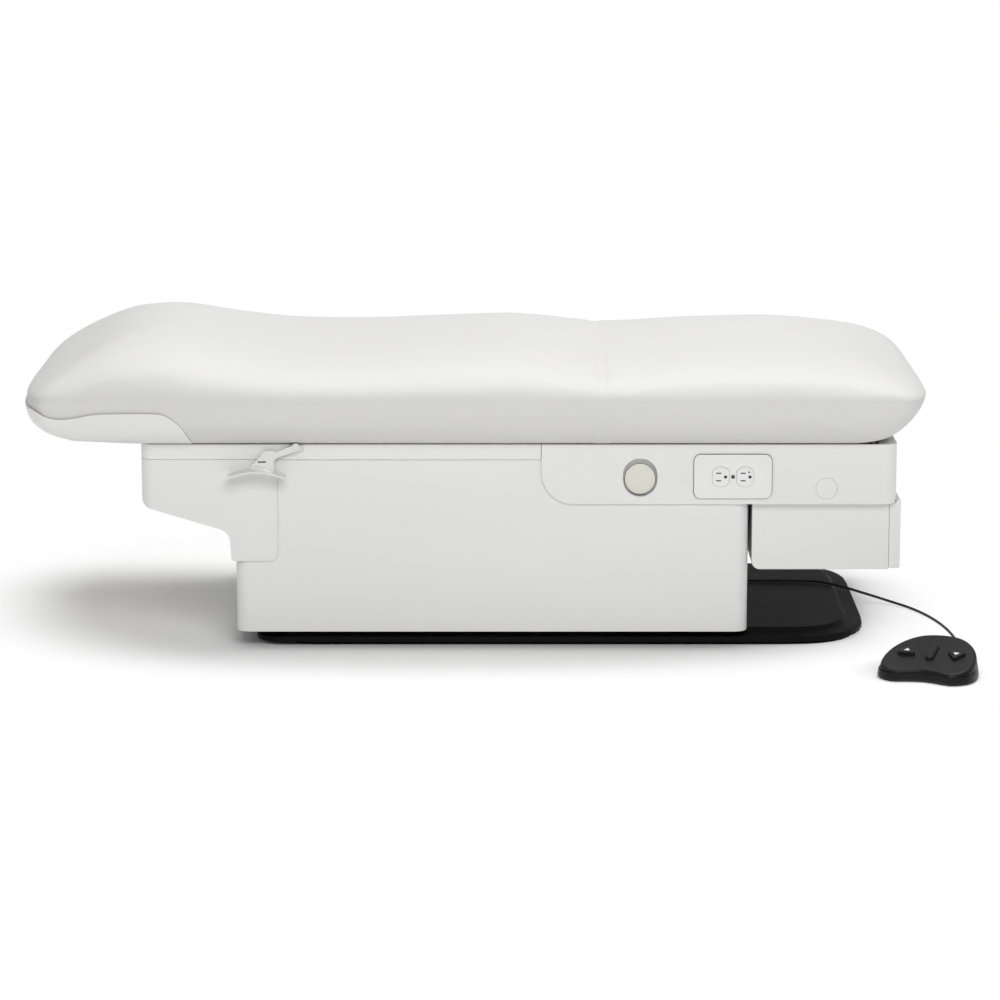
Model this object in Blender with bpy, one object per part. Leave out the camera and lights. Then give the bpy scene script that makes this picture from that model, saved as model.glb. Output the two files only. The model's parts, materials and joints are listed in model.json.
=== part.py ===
# Electric examination table: a lifting base, a two-section padded top with a folding back, a drawer,
# a pull-out leg rest and a corded foot pedal.
# Metres, +Z up, +X toward the foot end. The origin is on the floor, under the middle of the body wrap.

import math

import bmesh
import bpy
from mathutils import Matrix, Vector

# Fits
SEAT_GAP = 0.0003
RUN_GAP = 0.0006
JOIN_LAP = 0.0015
CUT_LAP = 0.010
THROUGH = 1.0

# The width that the other widths follow
WRAP_WIDTH = 0.600

# Floor plate and base cover
PLATE_THICK = 0.006
PLATE_INSET = 0.011
PLATE_HEAD_INSET = 0.053
COVER_HEAD = -0.380
COVER_FOOT = 0.6075
COVER_EDGE = 0.009
COVER_RISE = 0.0085
COVER_BORDER = 0.032
COVER_SWEEP_X = 0.136
COVER_SWEEP_Y = 0.155
COVER_SQUARE = 2.6
COVER_HEAD_CORNER = 0.040
COVER_INSET = 0.017
COVER_WIDTH = WRAP_WIDTH - 2 * COVER_INSET
COVER_BOTTOM = PLATE_THICK + SEAT_GAP
COVER_TOP = COVER_BOTTOM + COVER_EDGE + COVER_RISE

# Body wrap
WRAP_LENGTH = 0.820
WRAP_HEIGHT = 0.281
WRAP_WALL = 0.0025
WRAP_CORNER = 0.021
WRAP_EDGE_ROUND = 0.030
WRAP_GROUND = 0.0032
WRAP_CUT_X = 0.150
WRAP_LAP = 0.012
CABLE_NOTCH_WIDTH = 0.040
CABLE_NOTCH_HEIGHT = 0.020
WRAP_BOTTOM = COVER_TOP + WRAP_GROUND
WRAP_TOP = WRAP_BOTTOM + WRAP_HEIGHT
WRAP_HALF = WRAP_WIDTH / 2
WRAP_FOOT = WRAP_LENGTH / 2

# Head-end cover, top band and foot housing
PANEL_PROUD = 0.0005
PANEL_WALL = 0.003
NOSE_LENGTH = 0.149
NOSE_DEPTH = 0.0752
NOSE_SLOPE = 0.042
HEAD_COVER_LAP = 0.068
HEAD_COVER_DROP = 0.1645
HEEL_PROUD = 0.006
HEEL_LEAN = 0.003
NOSE_ROUND = 0.018
SLOPE_ROUND = 0.022
HEEL_ROUND = 0.004
LAP_ROUND = 0.013
BAND_HEIGHT = 0.0225
BAND_SLOT = 0.0042
HOUSING_HEAD = 0.079
HOUSING_FOOT = 0.6456
HOUSING_WALL = 0.0045
HOUSING_DEPTH = 0.0965
HOUSING_SWEEP = 0.050
HOUSING_CORNER = 0.020
HOUSING_SLOT = 0.002
BOARD_BOTTOM = WRAP_TOP + SEAT_GAP + BAND_HEIGHT + BAND_SLOT
HOUSING_TOP = BOARD_BOTTOM - HOUSING_SLOT
HOUSING_BOTTOM = HOUSING_TOP - HOUSING_DEPTH
PANEL_INNER = WRAP_HALF + PANEL_PROUD
PANEL_OUTER = PANEL_INNER + PANEL_WALL
HOUSING_HALF = PANEL_INNER + HOUSING_WALL
HOUSING_FLOOR = HOUSING_BOTTOM + PANEL_WALL

# Boards and upholstery
BOARD_THICK = 0.006
BOARD_INSET = 0.004
BOARD_MARGIN = 0.010
BOARD_CORNER = 0.050
CREASE_X = 0.175
CREASE_GAP = 0.002
CREASE_ROUND = 0.014
CREASE_RUN = 0.080
CUSHION_HEAD = -0.751
CUSHION_FOOT = 0.699
CUSHION_OVERHANG = 0.055
CUSHION_WIDEST = 0.073
CROWN_POWER = 3.25
SIDE_TUCK = 0.050
SIDE_POWER = 1.6
HEAD_BOW = 0.063
HEAD_SQUARE = 3.3
HEAD_RUN = 0.290
HEAD_TUCK = 0.130
HEAD_POWER = 2.4
FOOT_BOW = 0.082
FOOT_SQUARE = 4.4
FOOT_RUN = 0.214
FOOT_TUCK = 0.067
FOOT_POWER = 1.45
BACK_SPANS = 16
SEAT_SPANS = 10
CORNER_STEPS = 8
CREASE_STEPS = 10
CREASE_TURNS = 4
LOWER_SHARES = (0.0, 0.12, 0.3, 0.6, 0.85)
UPPER_SHARES = (0.0, 0.012, 0.045, 0.10, 0.18, 0.32, 0.55, 1.0)
SHELL_WALL = 0.004
SHELL_PROUD = 0.0025
SHELL_STEP = 0.012
# The shell's upper edge: distance from the head end, height above the boards' underside
SHELL_EDGE = [
    (0.000, 0.060), (0.028, 0.059), (0.049, 0.0495), (0.069, 0.0455), (0.095, 0.0478), (0.119, 0.0528),
    (0.149, 0.0547), (0.219, 0.0547), (0.240, 0.0495), (0.2585, 0.034), (0.268, 0.018), (0.275, 0.002),
    (0.278, -0.010),
]
BOARD_WIDTH = WRAP_WIDTH - 2 * BOARD_INSET
CUSHION_WIDTH = WRAP_WIDTH + 2 * CUSHION_OVERHANG
BOARD_TOP = BOARD_BOTTOM + BOARD_THICK
WIDEST_Z = BOARD_BOTTOM + CUSHION_WIDEST
BOARD_HEAD = CUSHION_HEAD + HEAD_TUCK + BOARD_MARGIN
BOARD_FOOT = CUSHION_FOOT - FOOT_TUCK - BOARD_MARGIN
# The top line along the middle: distance along X, height above the boards' underside
TOP_LINE = [
    (-0.760, 0.101), (-0.680, 0.132), (-0.600, 0.156), (-0.520, 0.160), (-0.440, 0.146), (-0.340, 0.133),
    (-0.220, 0.1305), (-0.080, 0.136), (0.030, 0.140), (0.110, 0.135), (0.175, 0.1265), (0.250, 0.129),
    (0.360, 0.134), (0.480, 0.1355), (0.600, 0.1225), (0.710, 0.101),
]

# Chassis
REST_PAD = 0.0144
RAIL_DEPTH = 0.030
RAIL_WIDTH = 0.027
RAIL_INSET = 0.038
RAIL_ROOM = 0.003
RAIL_HEAD = -0.500
RAIL_FOOT = 0.615
RAIL_TOP = BOARD_BOTTOM - REST_PAD - 2 * SEAT_GAP
RAIL_BOTTOM = RAIL_TOP - RAIL_DEPTH
RAIL_OUT = WRAP_HALF - RAIL_INSET
RAIL_IN = RAIL_OUT - RAIL_WIDTH
MEMBER_WIDTH = 0.070
MEMBER_STEP = 0.002
TAB_WIDTH = 0.030
TAB_THICK = 0.010
TAB_RISE = 0.005
PANEL_TABS = (-0.475, 0.470)
WRAP_TABS = (-0.360, -0.070)
STANDS = (0.310, 0.570)
STAND_INSET = 0.002
REST_PAD_HEAD = -0.420
REST_PAD_LENGTH = 0.040
REST_PAD_INSET = 0.003
EAR_MARGIN = 0.007
EAR_INSET = 0.012
EAR_THICK = 0.010

# Lifting columns and telescoping shrouds
COLUMN_HEAD_X = -0.230
COLUMN_FOOT_X = 0.070
COLUMN_HALF = 0.055
COLUMN_WALL = 0.004
COLUMN_GAP = 0.0005
COLUMN_CORNER = 0.008
COLUMN_STAGGER = 0.003
FLANGE_HALF = 0.060
FLANGE_THICK = 0.008
FLANGE_ROOM = 0.012
MOTOR_RADIUS = 0.028
MOTOR_HEIGHT = 0.120
GEARBOX_HALF = 0.034
GEARBOX_HEIGHT = 0.045
CONTROL_HEAD = -0.150
CONTROL_LENGTH = 0.120
CONTROL_WIDTH = 0.160
CONTROL_HEIGHT = 0.055
CONTROL_CORNER = 0.006
SHROUD_WIDTH = 0.444
SHROUD_HEAD = -0.335
SHROUD_FOOT = 0.190
SHROUD_WALL = 0.002
SHROUD_CORNER = 0.020
SHROUD_ROOM = 0.006

# Back hinge
HINGE_RISE = 0.117
KNUCKLE_RADIUS = 0.0042
HINGE_ROD_RADIUS = 0.0022
LEAF_THICK = 0.0025
LEAF_OFFSET = 0.0015
LEAF_HALF = 0.190
KNUCKLES = 7
KNUCKLE_GAP = 0.0008
HINGE_ROOM = 0.0008
HINGE_Z = BOARD_BOTTOM + HINGE_RISE

# Gas springs and their anchor tube
ANCHOR_X = 0.236
ANCHOR_HANG = 0.014
ANCHOR_RADIUS = 0.009
ANCHOR_WALL = 0.003
CAP_RADIUS = 0.0248
CAP_THICK = 0.013
CAP_RECESS = 0.0025
CAP_STUB = 0.012
GAS_CLEAR = 0.003
GAS_RADIUS = 0.0085
GAS_ROD_RADIUS = 0.004
GAS_EYE_RADIUS = 0.0145
GAS_CYLINDER = 0.172
GAS_ROD = 0.184
GAS_PIN_RADIUS = 0.0035
GAS_PIN_DROP = 0.011
GAS_PIN_EYE = 0.008
CHEEK_THICK = 0.004
GAS_SLOT_ROOM = 0.003
GAS_SEAT_SETBACK = 0.029
GAS_SEAT_SLOT = 0.038
GAS_BACK_SLOT = 0.053
GAS_Y = RAIL_OUT + GAS_CLEAR + GAS_RADIUS
ANCHOR_Z = RAIL_BOTTOM - ANCHOR_HANG

# Back release
RELEASE_X = -0.311
RELEASE_DROP = 0.006
RELEASE_RADIUS = 0.004
RELEASE_HUB = 0.0068
HANGER_WALL = 0.003
HANGER_INSET = 0.010
HANGER_THICK = 0.015
RELEASE_ARM = 0.005
PADDLE_LENGTH = 0.093
PADDLE_DEPTH = 0.032
PADDLE_THICK = 0.003
PADDLE_BOW = 0.010
PADDLE_X = -0.373
PADDLE_DROP = 0.034
PADDLE_CLEAR = 0.004
# The neck's outline: distance from the blade's middle, height above its crest
PADDLE_NECK = [
    (-0.012, -0.004), (0.027, -0.004), (0.027, 0.013), (0.034, 0.0185), (0.065, 0.029), (0.059, 0.0385),
    (0.030, 0.0265), (0.026, 0.029), (0.012, 0.029), (0.000, 0.014), (-0.010, 0.004),
]
PADDLE_SLOT_X = 0.008
PADDLE_SLOT_RISE = 0.0095
PADDLE_SLOT_LENGTH = 0.013
PADDLE_SLOT_HEIGHT = 0.003
RELEASE_Z = BOARD_BOTTOM - RELEASE_DROP

# Side fittings on the foot housing
ACCESS_HOLE_RADIUS = 0.0275
ACCESS_HOLE_LENGTH = 0.062
OUTLET_X = 0.3835
OUTLET_DROP = 0.0515
OUTLET_LENGTH = 0.124
OUTLET_HEIGHT = 0.071
OUTLET_CORNER = 0.011
OUTLET_PLATE = 0.004
SOCKET_PITCH = 0.0389
SOCKET_WIDTH = 0.027
SOCKET_HEIGHT = 0.032
SOCKET_PROUD = 0.0012
SOCKET_DEPTH = 0.030
SOCKET_ROUND = 0.008
SOCKET_MARGIN = 0.003
PIN_SLOT_RISE = 0.0061
PIN_SLOT_START = -0.0075
PIN_SLOT_END = 0.0005
PIN_SLOT_HALF = 0.001
PIN_DEPTH = 0.006
EARTH_PIN_X = 0.0075
EARTH_PIN_RADIUS = 0.0025
PLUG_X = 0.533
PLUG_RISE = 0.0255
PLUG_RADIUS = 0.017
PLUG_RIM = 0.003

# Drawer
DRAWER_HEAD = 0.416
DRAWER_FOOT = 0.635
DRAWER_INSET = 0.010
DRAWER_HEIGHT = 0.109
DRAWER_WALL = 0.003
DRAWER_CORNER = 0.013
DRAWER_FRONT = 0.018
DRAWER_LIP = 0.0035
TRAY_WALL = 0.002
TRAY_DROP = 0.018
TRAY_SETBACK = 0.006
FRONT_ROUND = 0.003
FRONT_STEP = 0.002
DRAWER_WIDTH = WRAP_WIDTH - 2 * DRAWER_INSET

# Leg rest
LEG_HEAD = 0.262
LEG_BOARD = 0.008
LEG_PAD = 0.034
LEG_FRONT = 0.012
RUNNER_WEB = 0.0055
LEG_RISE = 0.022
RUNNER_FLANGE = 0.0032
RUNNER_REACH = 0.030
RUNNER_MARGIN = 0.007
LEG_SETBACK = 0.002
LEG_PAD_MARGIN = 0.012
LEG_PAD_CORNER = 0.030
# The pad's rings: how far each stands in from the pad's edge, and its share of the pad's height
LEG_PAD_LEVELS = ((0.010, 0), (0.002, 0.25), (0, 0.5), (0.003, 0.75), (0.012, 0.92), (0.030, 1.0))
GRIP_HALF = 0.060
GRIP_DEPTH = 0.012
GRIP_ROUND = 0.008
LEG_ROOM = 0.003
LEG_HALF = RAIL_IN - SEAT_GAP - RUNNER_WEB - RUN_GAP
LEG_LOW = HOUSING_BOTTOM + LEG_RISE
LEG_CEILING = LEG_LOW + LEG_BOARD + LEG_PAD + LEG_ROOM

# Foot pedal and cord
PEDAL_X = 0.686
PEDAL_Y = -0.478
PEDAL_TURN = math.radians(-20)
PEDAL_SLOPE = math.radians(12)
PEDAL_FOOT = 0.004
PEDAL_HEIGHT = 0.0316
PEDAL_TOP_RATIO = 0.90
PEDAL_FOOT_RATIO = 0.97
PEDAL_FLANK_RATIO = 0.985
PEDAL_FLANK_RISE = 0.010
PEDAL_EDGE_RATIO = 0.945
PEDAL_EDGE_DROP = 0.0035
PEDAL_STEP = 0.020
# Half of the pedal's outline, from the middle of its back to the middle of its front
PEDAL_OUTLINE = [
    (0.0, 0.078), (0.036, 0.069), (0.063, 0.037), (0.0765, -0.008), (0.073, -0.050), (0.049, -0.071),
    (0.020, -0.063), (0.0, -0.059),
]
RIDGE_HALF = 0.0035
RIDGE_FRONT = -0.022
RIDGE_BACK = 0.030
RIDGE_PROUD = 0.004
KEY_ROUND = 0.004
KEY_SPREAD = 0.039
KEY_SIZE = 0.030
KEY_DEPTH = 0.010
KEY_PROUD = 0.004
KEY_GAP = 0.0006
KEY_TRAVEL = 0.003
RELIEF_RADIUS = 0.0045
RELIEF_X = 0.738
RELIEF_Z = 0.014
RELIEF_IN = -0.434
RELIEF_OUT = -0.395
CORD_RADIUS = 0.00225
GLAND_X = 0.226
GLAND_Y = 0.092
GLAND_LENGTH = 0.030
GLAND_WIDTH = 0.024
GLAND_HEIGHT = 0.014
GLAND_CORNER = 0.003
CORD_STEP = 0.0125
# The cord's route, chosen by hand: from the gland over the cover, along the floor, up to the pedal
CORD_ROUTE = [
    (0.270, 0.092, 0.0295), (0.300, 0.092, 0.0267), (0.434, 0.092, 0.0267), (0.535, 0.0890, 0.0270),
    (0.570, 0.070, 0.0272), (0.596, 0.055, 0.0236), (0.620, 0.048, 0.0175), (0.645, 0.040, 0.0112),
    (0.672, 0.022, 0.0058), (0.700, -0.014, 0.0032), (0.722, -0.070, 0.0030), (0.738, -0.135, 0.0030),
    (0.747, -0.200, 0.0030), (0.750, -0.265, 0.0034), (0.746, -0.335, 0.0080), (0.739, -0.377, 0.0130),
]

AXIS_ORDER = {
    'X': lambda a, b, along: (along, a, b),
    'Y': lambda a, b, along: (a, along, b),
    'Z': lambda a, b, along: (a, b, along),
}


# Shape helpers

def solid(shape):
    bmesh.ops.recalc_face_normals(shape, faces=shape.faces)
    mesh = bpy.data.meshes.new('solid')
    shape.to_mesh(mesh)
    shape.free()
    piece = bpy.data.objects.new('solid', mesh)
    bpy.context.collection.objects.link(piece)
    return piece


def loft(rings, close_top=True):
    shape = bmesh.new()
    rows = [[shape.verts.new(point) for point in ring] for ring in rings]
    count = len(rows[0])
    for low, high in zip(rows, rows[1:]):
        for index in range(count):
            following = (index + 1) % count
            shape.faces.new((low[index], low[following], high[following], high[index]))
    shape.faces.new(list(reversed(rows[0])))
    if close_top:
        shape.faces.new(rows[-1])
    else:
        bmesh.ops.remove_doubles(shape, verts=rows[-1], dist=1e-5)
        bmesh.ops.dissolve_degenerate(shape, edges=shape.edges, dist=1e-6)
    return solid(shape)


def prism(outline, axis, low, high):
    place = AXIS_ORDER[axis]
    return loft([[place(a, b, level) for a, b in outline] for level in (low, high)])


def rectangle(a_low, a_high, b_low, b_high, radius=0.0):
    corners = [(a_low, b_low), (a_high, b_low), (a_high, b_high), (a_low, b_high)]
    return [(a, b, radius) for a, b in corners]


def rounded(corners, steps=4):
    points = []
    for index, (a, b, radius) in enumerate(corners):
        here = Vector((a, b))
        if radius == 0:
            points.append(here)
            continue
        before = (Vector(corners[index - 1][:2]) - here).normalized()
        after = (Vector(corners[(index + 1) % len(corners)][:2]) - here).normalized()
        half = before.angle(after) / 2
        centre = here + (before + after).normalized() * radius / math.sin(half)
        start = here + before * radius / math.tan(half) - centre
        end = here + after * radius / math.tan(half) - centre
        sweep = start.angle(end)
        for step in range(steps + 1):
            share = step / steps
            turn = start * math.sin((1 - share) * sweep) + end * math.sin(share * sweep)
            points.append(centre + turn / math.sin(sweep))
    return points


def block(x_low, x_high, y_low, y_high, z_low, z_high):
    return prism(rounded(rectangle(x_low, x_high, y_low, y_high)), 'Z', z_low, z_high)


def bar(axis, centre, radius, low, high, sides=24):
    turns = [2 * math.pi * side / sides for side in range(sides)]
    outline = [(centre[0] + radius * math.cos(turn), centre[1] + radius * math.sin(turn)) for turn in turns]
    return prism(outline, axis, low, high)


def combine(target, tool, operation):
    step = target.modifiers.new(operation, 'BOOLEAN')
    step.operation = operation
    step.object = tool
    bpy.context.view_layer.update()
    evaluated = target.evaluated_get(bpy.context.evaluated_depsgraph_get())
    shape = bpy.data.meshes.new_from_object(evaluated)
    target.modifiers.remove(step)
    spent = target.data
    target.data = shape
    bpy.data.meshes.remove(spent)
    bpy.data.objects.remove(tool)
    return target


def cut(target, *tools):
    for tool in tools:
        combine(target, tool, 'DIFFERENCE')
    return target


def join(target, *tools):
    for tool in tools:
        combine(target, tool, 'UNION')
    return target


def keep(target, tool):
    return combine(target, tool, 'INTERSECT')


def pipe(axis, centre, radius, bore, low, high):
    return cut(bar(axis, centre, radius, low, high), bar(axis, centre, bore, low - CUT_LAP, high + CUT_LAP))


def sleeve(outline, inner, low, high):
    return cut(prism(outline, 'Z', low, high), prism(inner, 'Z', low - CUT_LAP, high + CUT_LAP))


def smooth_value(points, x):
    if x <= points[0][0]:
        return points[0][1]
    for index in range(len(points) - 1):
        (x0, y0), (x1, y1) = points[index], points[index + 1]
        if x > x1 and index < len(points) - 2:
            continue
        before = points[max(index - 1, 0)]
        after = points[min(index + 2, len(points) - 1)]
        slope0 = (y1 - before[1]) / (x1 - before[0])
        slope1 = (after[1] - y0) / (after[0] - x0)
        share = min((x - x0) / (x1 - x0), 1.0)
        width = x1 - x0
        return (
            y0 * (1 + 2 * share) * (1 - share) ** 2 + slope0 * width * share * (1 - share) ** 2
            + y1 * share ** 2 * (3 - 2 * share) - slope1 * width * share ** 2 * (1 - share)
        )


def smooth_route(points, step, closed=False):
    count = len(points)
    spans = count if closed else count - 1
    route = []
    for index in range(spans):
        if closed:
            p0, p1, p2, p3 = [Vector(points[(index + shift) % count]) for shift in (-1, 0, 1, 2)]
        else:
            p1, p2 = Vector(points[index]), Vector(points[index + 1])
            p0 = Vector(points[index - 1]) if index else p1 * 2 - p2
            p3 = Vector(points[index + 2]) if index + 2 < count else p2 * 2 - p1
        pieces = max(round((p2 - p1).length / step), 1)
        for piece in range(pieces):
            t = piece / pieces
            bend = (p0 * 2 - p1 * 5 + p2 * 4 - p3) * t * t + (p1 * 3 - p0 - p2 * 3 + p3) * t ** 3
            route.append((p1 * 2 + (p2 - p0) * t + bend) / 2)
    if not closed:
        route.append(Vector(points[-1]))
    return route


# Finishes

def finish(name, colour, roughness, metallic=0.0):
    material = bpy.data.materials.new(name)
    material.use_nodes = True
    shader = material.node_tree.nodes['Principled BSDF']
    shader.inputs['Base Color'].default_value = (*colour, 1.0)
    shader.inputs['Roughness'].default_value = roughness
    shader.inputs['Metallic'].default_value = metallic
    return material


def make_finishes():
    return {
        'upholstery': finish('white_upholstery', (0.80, 0.80, 0.79), 0.45),
        'panel': finish('white_plastic', (0.80, 0.80, 0.78), 0.40),
        'steel': finish('painted_steel', (0.55, 0.55, 0.55), 0.45, 0.4),
        'bright': finish('bright_steel', (0.75, 0.75, 0.76), 0.25, 1.0),
        'board': finish('plywood', (0.55, 0.42, 0.28), 0.70),
        'beige': finish('beige_plastic', (0.70, 0.69, 0.62), 0.35),
        'outlet': finish('outlet_plastic', (0.88, 0.88, 0.88), 0.30),
        'base': finish('black_plastic', (0.02, 0.02, 0.022), 0.55),
        'pedal': finish('grey_plastic', (0.055, 0.055, 0.06), 0.45),
        'rubber': finish('black_rubber', (0.015, 0.015, 0.015), 0.70),
    }


def body(name, place, parent=None):
    frame = bpy.data.objects.new(name, None)
    frame.empty_display_size = 0.05
    bpy.context.collection.objects.link(frame)
    frame['place'] = place
    frame.location = place
    if parent:
        frame.parent = parent
        frame.location = Vector(place) - Vector(parent['place'])
    return frame


def add(piece, name, material, frame):
    piece.name = name
    piece.data.name = name
    piece.data.transform(Matrix.Translation(-Vector(frame['place'])))
    piece.data.materials.clear()
    piece.data.materials.append(material)
    piece.data.shade_smooth()
    piece.data.set_sharp_from_angle(angle=math.radians(32))
    piece.parent = frame
    return piece


# Base

def base_outline(inset, head_inset):
    half = COVER_WIDTH / 2 - inset
    head = COVER_HEAD + head_inset
    foot = COVER_FOOT - inset
    sweep_x = COVER_SWEEP_X - inset
    sweep_y = COVER_SWEEP_Y - inset
    corner = rounded(rectangle(head, foot, -half, half, COVER_HEAD_CORNER))[:5]
    turns = [math.radians(90 * step / 8) for step in range(9)]
    middle_x = foot - sweep_x
    middle_y = sweep_y - half
    power = 2 / COVER_SQUARE
    near = []
    for turn in turns:
        along, across = math.sin(turn) ** power, max(math.cos(turn), 0.0) ** power
        near.append((middle_x + sweep_x * along, middle_y - sweep_y * across))
    return [tuple(point) for point in corner] + near + [(x, -y) for x, y in reversed(near)] + [
        (x, -y) for x, y in reversed(corner)
    ]


def make_base(looks, frame):
    plate = prism(base_outline(PLATE_INSET, PLATE_HEAD_INSET), 'Z', 0, PLATE_THICK)
    add(plate, 'base_plate', looks['steel'], frame)

    edge_top = COVER_BOTTOM + COVER_EDGE
    levels = [
        (0.0, COVER_BOTTOM), (0.0, edge_top), (0.75 * COVER_BORDER, edge_top + COVER_RISE / 4),
        (COVER_BORDER, COVER_TOP),
    ]
    cover = loft([[(x, y, z) for x, y in base_outline(inset, inset)] for inset, z in levels])
    room = COLUMN_HALF + RUN_GAP
    for column_x in (COLUMN_HEAD_X, COLUMN_FOOT_X):
        well = rounded(rectangle(column_x - room, column_x + room, -room, room, COLUMN_CORNER), 2)
        cut(cover, prism(well, 'Z', 0, COVER_TOP + CUT_LAP))
    add(cover, 'base_cover', looks['base'], frame)

    half = CONTROL_WIDTH / 2
    box = rectangle(CONTROL_HEAD, CONTROL_HEAD + CONTROL_LENGTH, -half, half, CONTROL_CORNER)
    control = prism(rounded(box, 2), 'Z', COVER_TOP + SEAT_GAP, COVER_TOP + CONTROL_HEIGHT)
    add(control, 'control_box', looks['pedal'], frame)


def column_tube(column_x, nesting, low, high):
    half = COLUMN_HALF - nesting * (COLUMN_WALL + COLUMN_GAP)
    inner = half - COLUMN_WALL
    corner = COLUMN_CORNER - nesting * COLUMN_GAP
    outline = rounded(rectangle(column_x - half, column_x + half, -half, half, corner), 2)
    bore = rounded(rectangle(column_x - inner, column_x + inner, -inner, inner, corner - COLUMN_WALL / 2), 2)
    return sleeve(outline, bore, low, high)


def make_columns(looks, base, lower, upper, chassis):
    flange_top = RAIL_BOTTOM + MEMBER_STEP - SEAT_GAP
    top = flange_top - FLANGE_THICK - FLANGE_ROOM
    for end, column_x in (('head', COLUMN_HEAD_X), ('foot', COLUMN_FOOT_X)):
        stages = (('column_outer', base), ('column_lower_stage', lower), ('column_upper_stage', upper))
        for nesting, (name, frame) in enumerate(stages):
            low = COVER_BOTTOM + nesting * COLUMN_STAGGER
            tube = column_tube(column_x, nesting, low, top + nesting * COLUMN_STAGGER)
            add(tube, f'{name}_{end}', looks['steel'], frame)
        inner = column_tube(column_x, 3, COVER_BOTTOM + 3 * COLUMN_STAGGER, flange_top - FLANGE_THICK / 2)
        corner = FLANGE_HALF / 6
        square = rectangle(column_x - FLANGE_HALF, column_x + FLANGE_HALF, -FLANGE_HALF, FLANGE_HALF, corner)
        join(inner, prism(rounded(square, 2), 'Z', flange_top - FLANGE_THICK, flange_top))
        add(inner, f'column_inner_{end}', looks['steel'], chassis)
        make_motor(looks, base, end, column_x)


def make_motor(looks, base, end, column_x):
    side = COLUMN_HALF + SEAT_GAP
    centre = (column_x, side + MOTOR_RADIUS)
    low = COVER_TOP + SEAT_GAP
    outer = side + 2 * MOTOR_RADIUS + JOIN_LAP
    gearbox = block(column_x - GEARBOX_HALF, column_x + GEARBOX_HALF, side, outer, low, low + GEARBOX_HEIGHT)
    join(gearbox, bar('Z', centre, MOTOR_RADIUS, low + GEARBOX_HEIGHT - JOIN_LAP, low + MOTOR_HEIGHT))
    add(gearbox, f'column_motor_{end}', looks['pedal'], base)


def shroud_outline(grow):
    half = SHROUD_WIDTH / 2 + grow
    return rounded(rectangle(SHROUD_HEAD - grow, SHROUD_FOOT + grow, -half, half, SHROUD_CORNER + grow), 3)


def make_shrouds(looks, base, middle):
    top = RAIL_BOTTOM - SHROUD_ROOM
    low = COVER_TOP + SEAT_GAP
    inner = sleeve(shroud_outline(0), shroud_outline(-SHROUD_WALL), low, top)
    add(inner, 'base_shroud', looks['panel'], base)
    outside = RUN_GAP + SHROUD_WALL
    outer = sleeve(shroud_outline(outside), shroud_outline(RUN_GAP), low + WRAP_GROUND, top)
    add(outer, 'middle_shroud', looks['panel'], middle)


# Body panels

def make_wrap(looks, frame):
    plan = rectangle(-WRAP_FOOT, WRAP_FOOT, -WRAP_HALF, WRAP_HALF, WRAP_CORNER)
    inner_half = WRAP_HALF - WRAP_WALL
    inner_foot = WRAP_FOOT - WRAP_WALL
    inside = rectangle(-inner_foot, inner_foot, -inner_half, inner_half, WRAP_CORNER - WRAP_WALL)
    wrap = sleeve(rounded(plan), rounded(inside), WRAP_BOTTOM, WRAP_TOP)
    reach = WRAP_FOOT + CUT_LAP
    corner = WRAP_EDGE_ROUND
    side = [
        (-reach, WRAP_TOP + CUT_LAP, 0), (-reach, WRAP_BOTTOM - CUT_LAP, corner),
        (reach, WRAP_BOTTOM - CUT_LAP, corner), (reach, WRAP_TOP + CUT_LAP, 0),
    ]
    keep(wrap, prism(rounded(side, 5), 'Y', -WRAP_WIDTH, WRAP_WIDTH))
    lap = HOUSING_BOTTOM + WRAP_LAP
    cut(wrap, block(WRAP_CUT_X, WRAP_LENGTH, -WRAP_WIDTH, WRAP_WIDTH, lap, THROUGH))
    notch = CABLE_NOTCH_WIDTH / 2
    notch_top = WRAP_BOTTOM + CABLE_NOTCH_HEIGHT
    cut(wrap, block(0, WRAP_LENGTH, GLAND_Y - notch, GLAND_Y + notch, 0, notch_top))
    rail_room = RAIL_OUT + RAIL_ROOM
    rail_end = 2 * WRAP_CORNER - WRAP_FOOT
    rail_low = RAIL_BOTTOM - RAIL_ROOM
    cut(wrap, block(-WRAP_LENGTH, rail_end, -rail_room, rail_room, rail_low, THROUGH))
    add(wrap, 'body_wrap', looks['panel'], frame)


def head_cover_outline(inset, top):
    nose = -WRAP_FOOT - NOSE_LENGTH + inset
    lap = -WRAP_FOOT + HEAD_COVER_LAP
    heel = -WRAP_FOOT - HEEL_PROUD + inset
    nose_low = WRAP_TOP - NOSE_DEPTH + inset
    bottom = WRAP_TOP - HEAD_COVER_DROP + inset
    return rounded([
        (nose, top, 0), (nose, nose_low, NOSE_ROUND), (heel - HEEL_LEAN, nose_low - NOSE_SLOPE, SLOPE_ROUND),
        (heel, bottom, HEEL_ROUND), (lap, bottom, LAP_ROUND), (lap, top, 0),
    ])


def nose_plan(half, inset, foot):
    head = -WRAP_FOOT - NOSE_LENGTH + inset
    corner = WRAP_CORNER - inset
    return rounded([(head, -half, corner), (foot, -half, 0), (foot, half, 0), (head, half, corner)])


def make_head_cover(looks, frame):
    cover = prism(head_cover_outline(0, WRAP_TOP), 'Y', -PANEL_OUTER, PANEL_OUTER)
    keep(cover, prism(nose_plan(PANEL_OUTER, 0, 0), 'Z', 0, 1))
    hollow = prism(head_cover_outline(PANEL_WALL, WRAP_TOP + CUT_LAP), 'Y', -PANEL_OUTER, PANEL_OUTER)
    keep(hollow, prism(nose_plan(PANEL_INNER, PANEL_WALL, 0), 'Z', 0, 1))
    cut(cover, hollow)
    cut(cover, block(-WRAP_FOOT - PANEL_PROUD, 0, -PANEL_INNER, PANEL_INNER, 0, 1))
    add(cover, 'head_end_cover', looks['panel'], frame)


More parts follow.
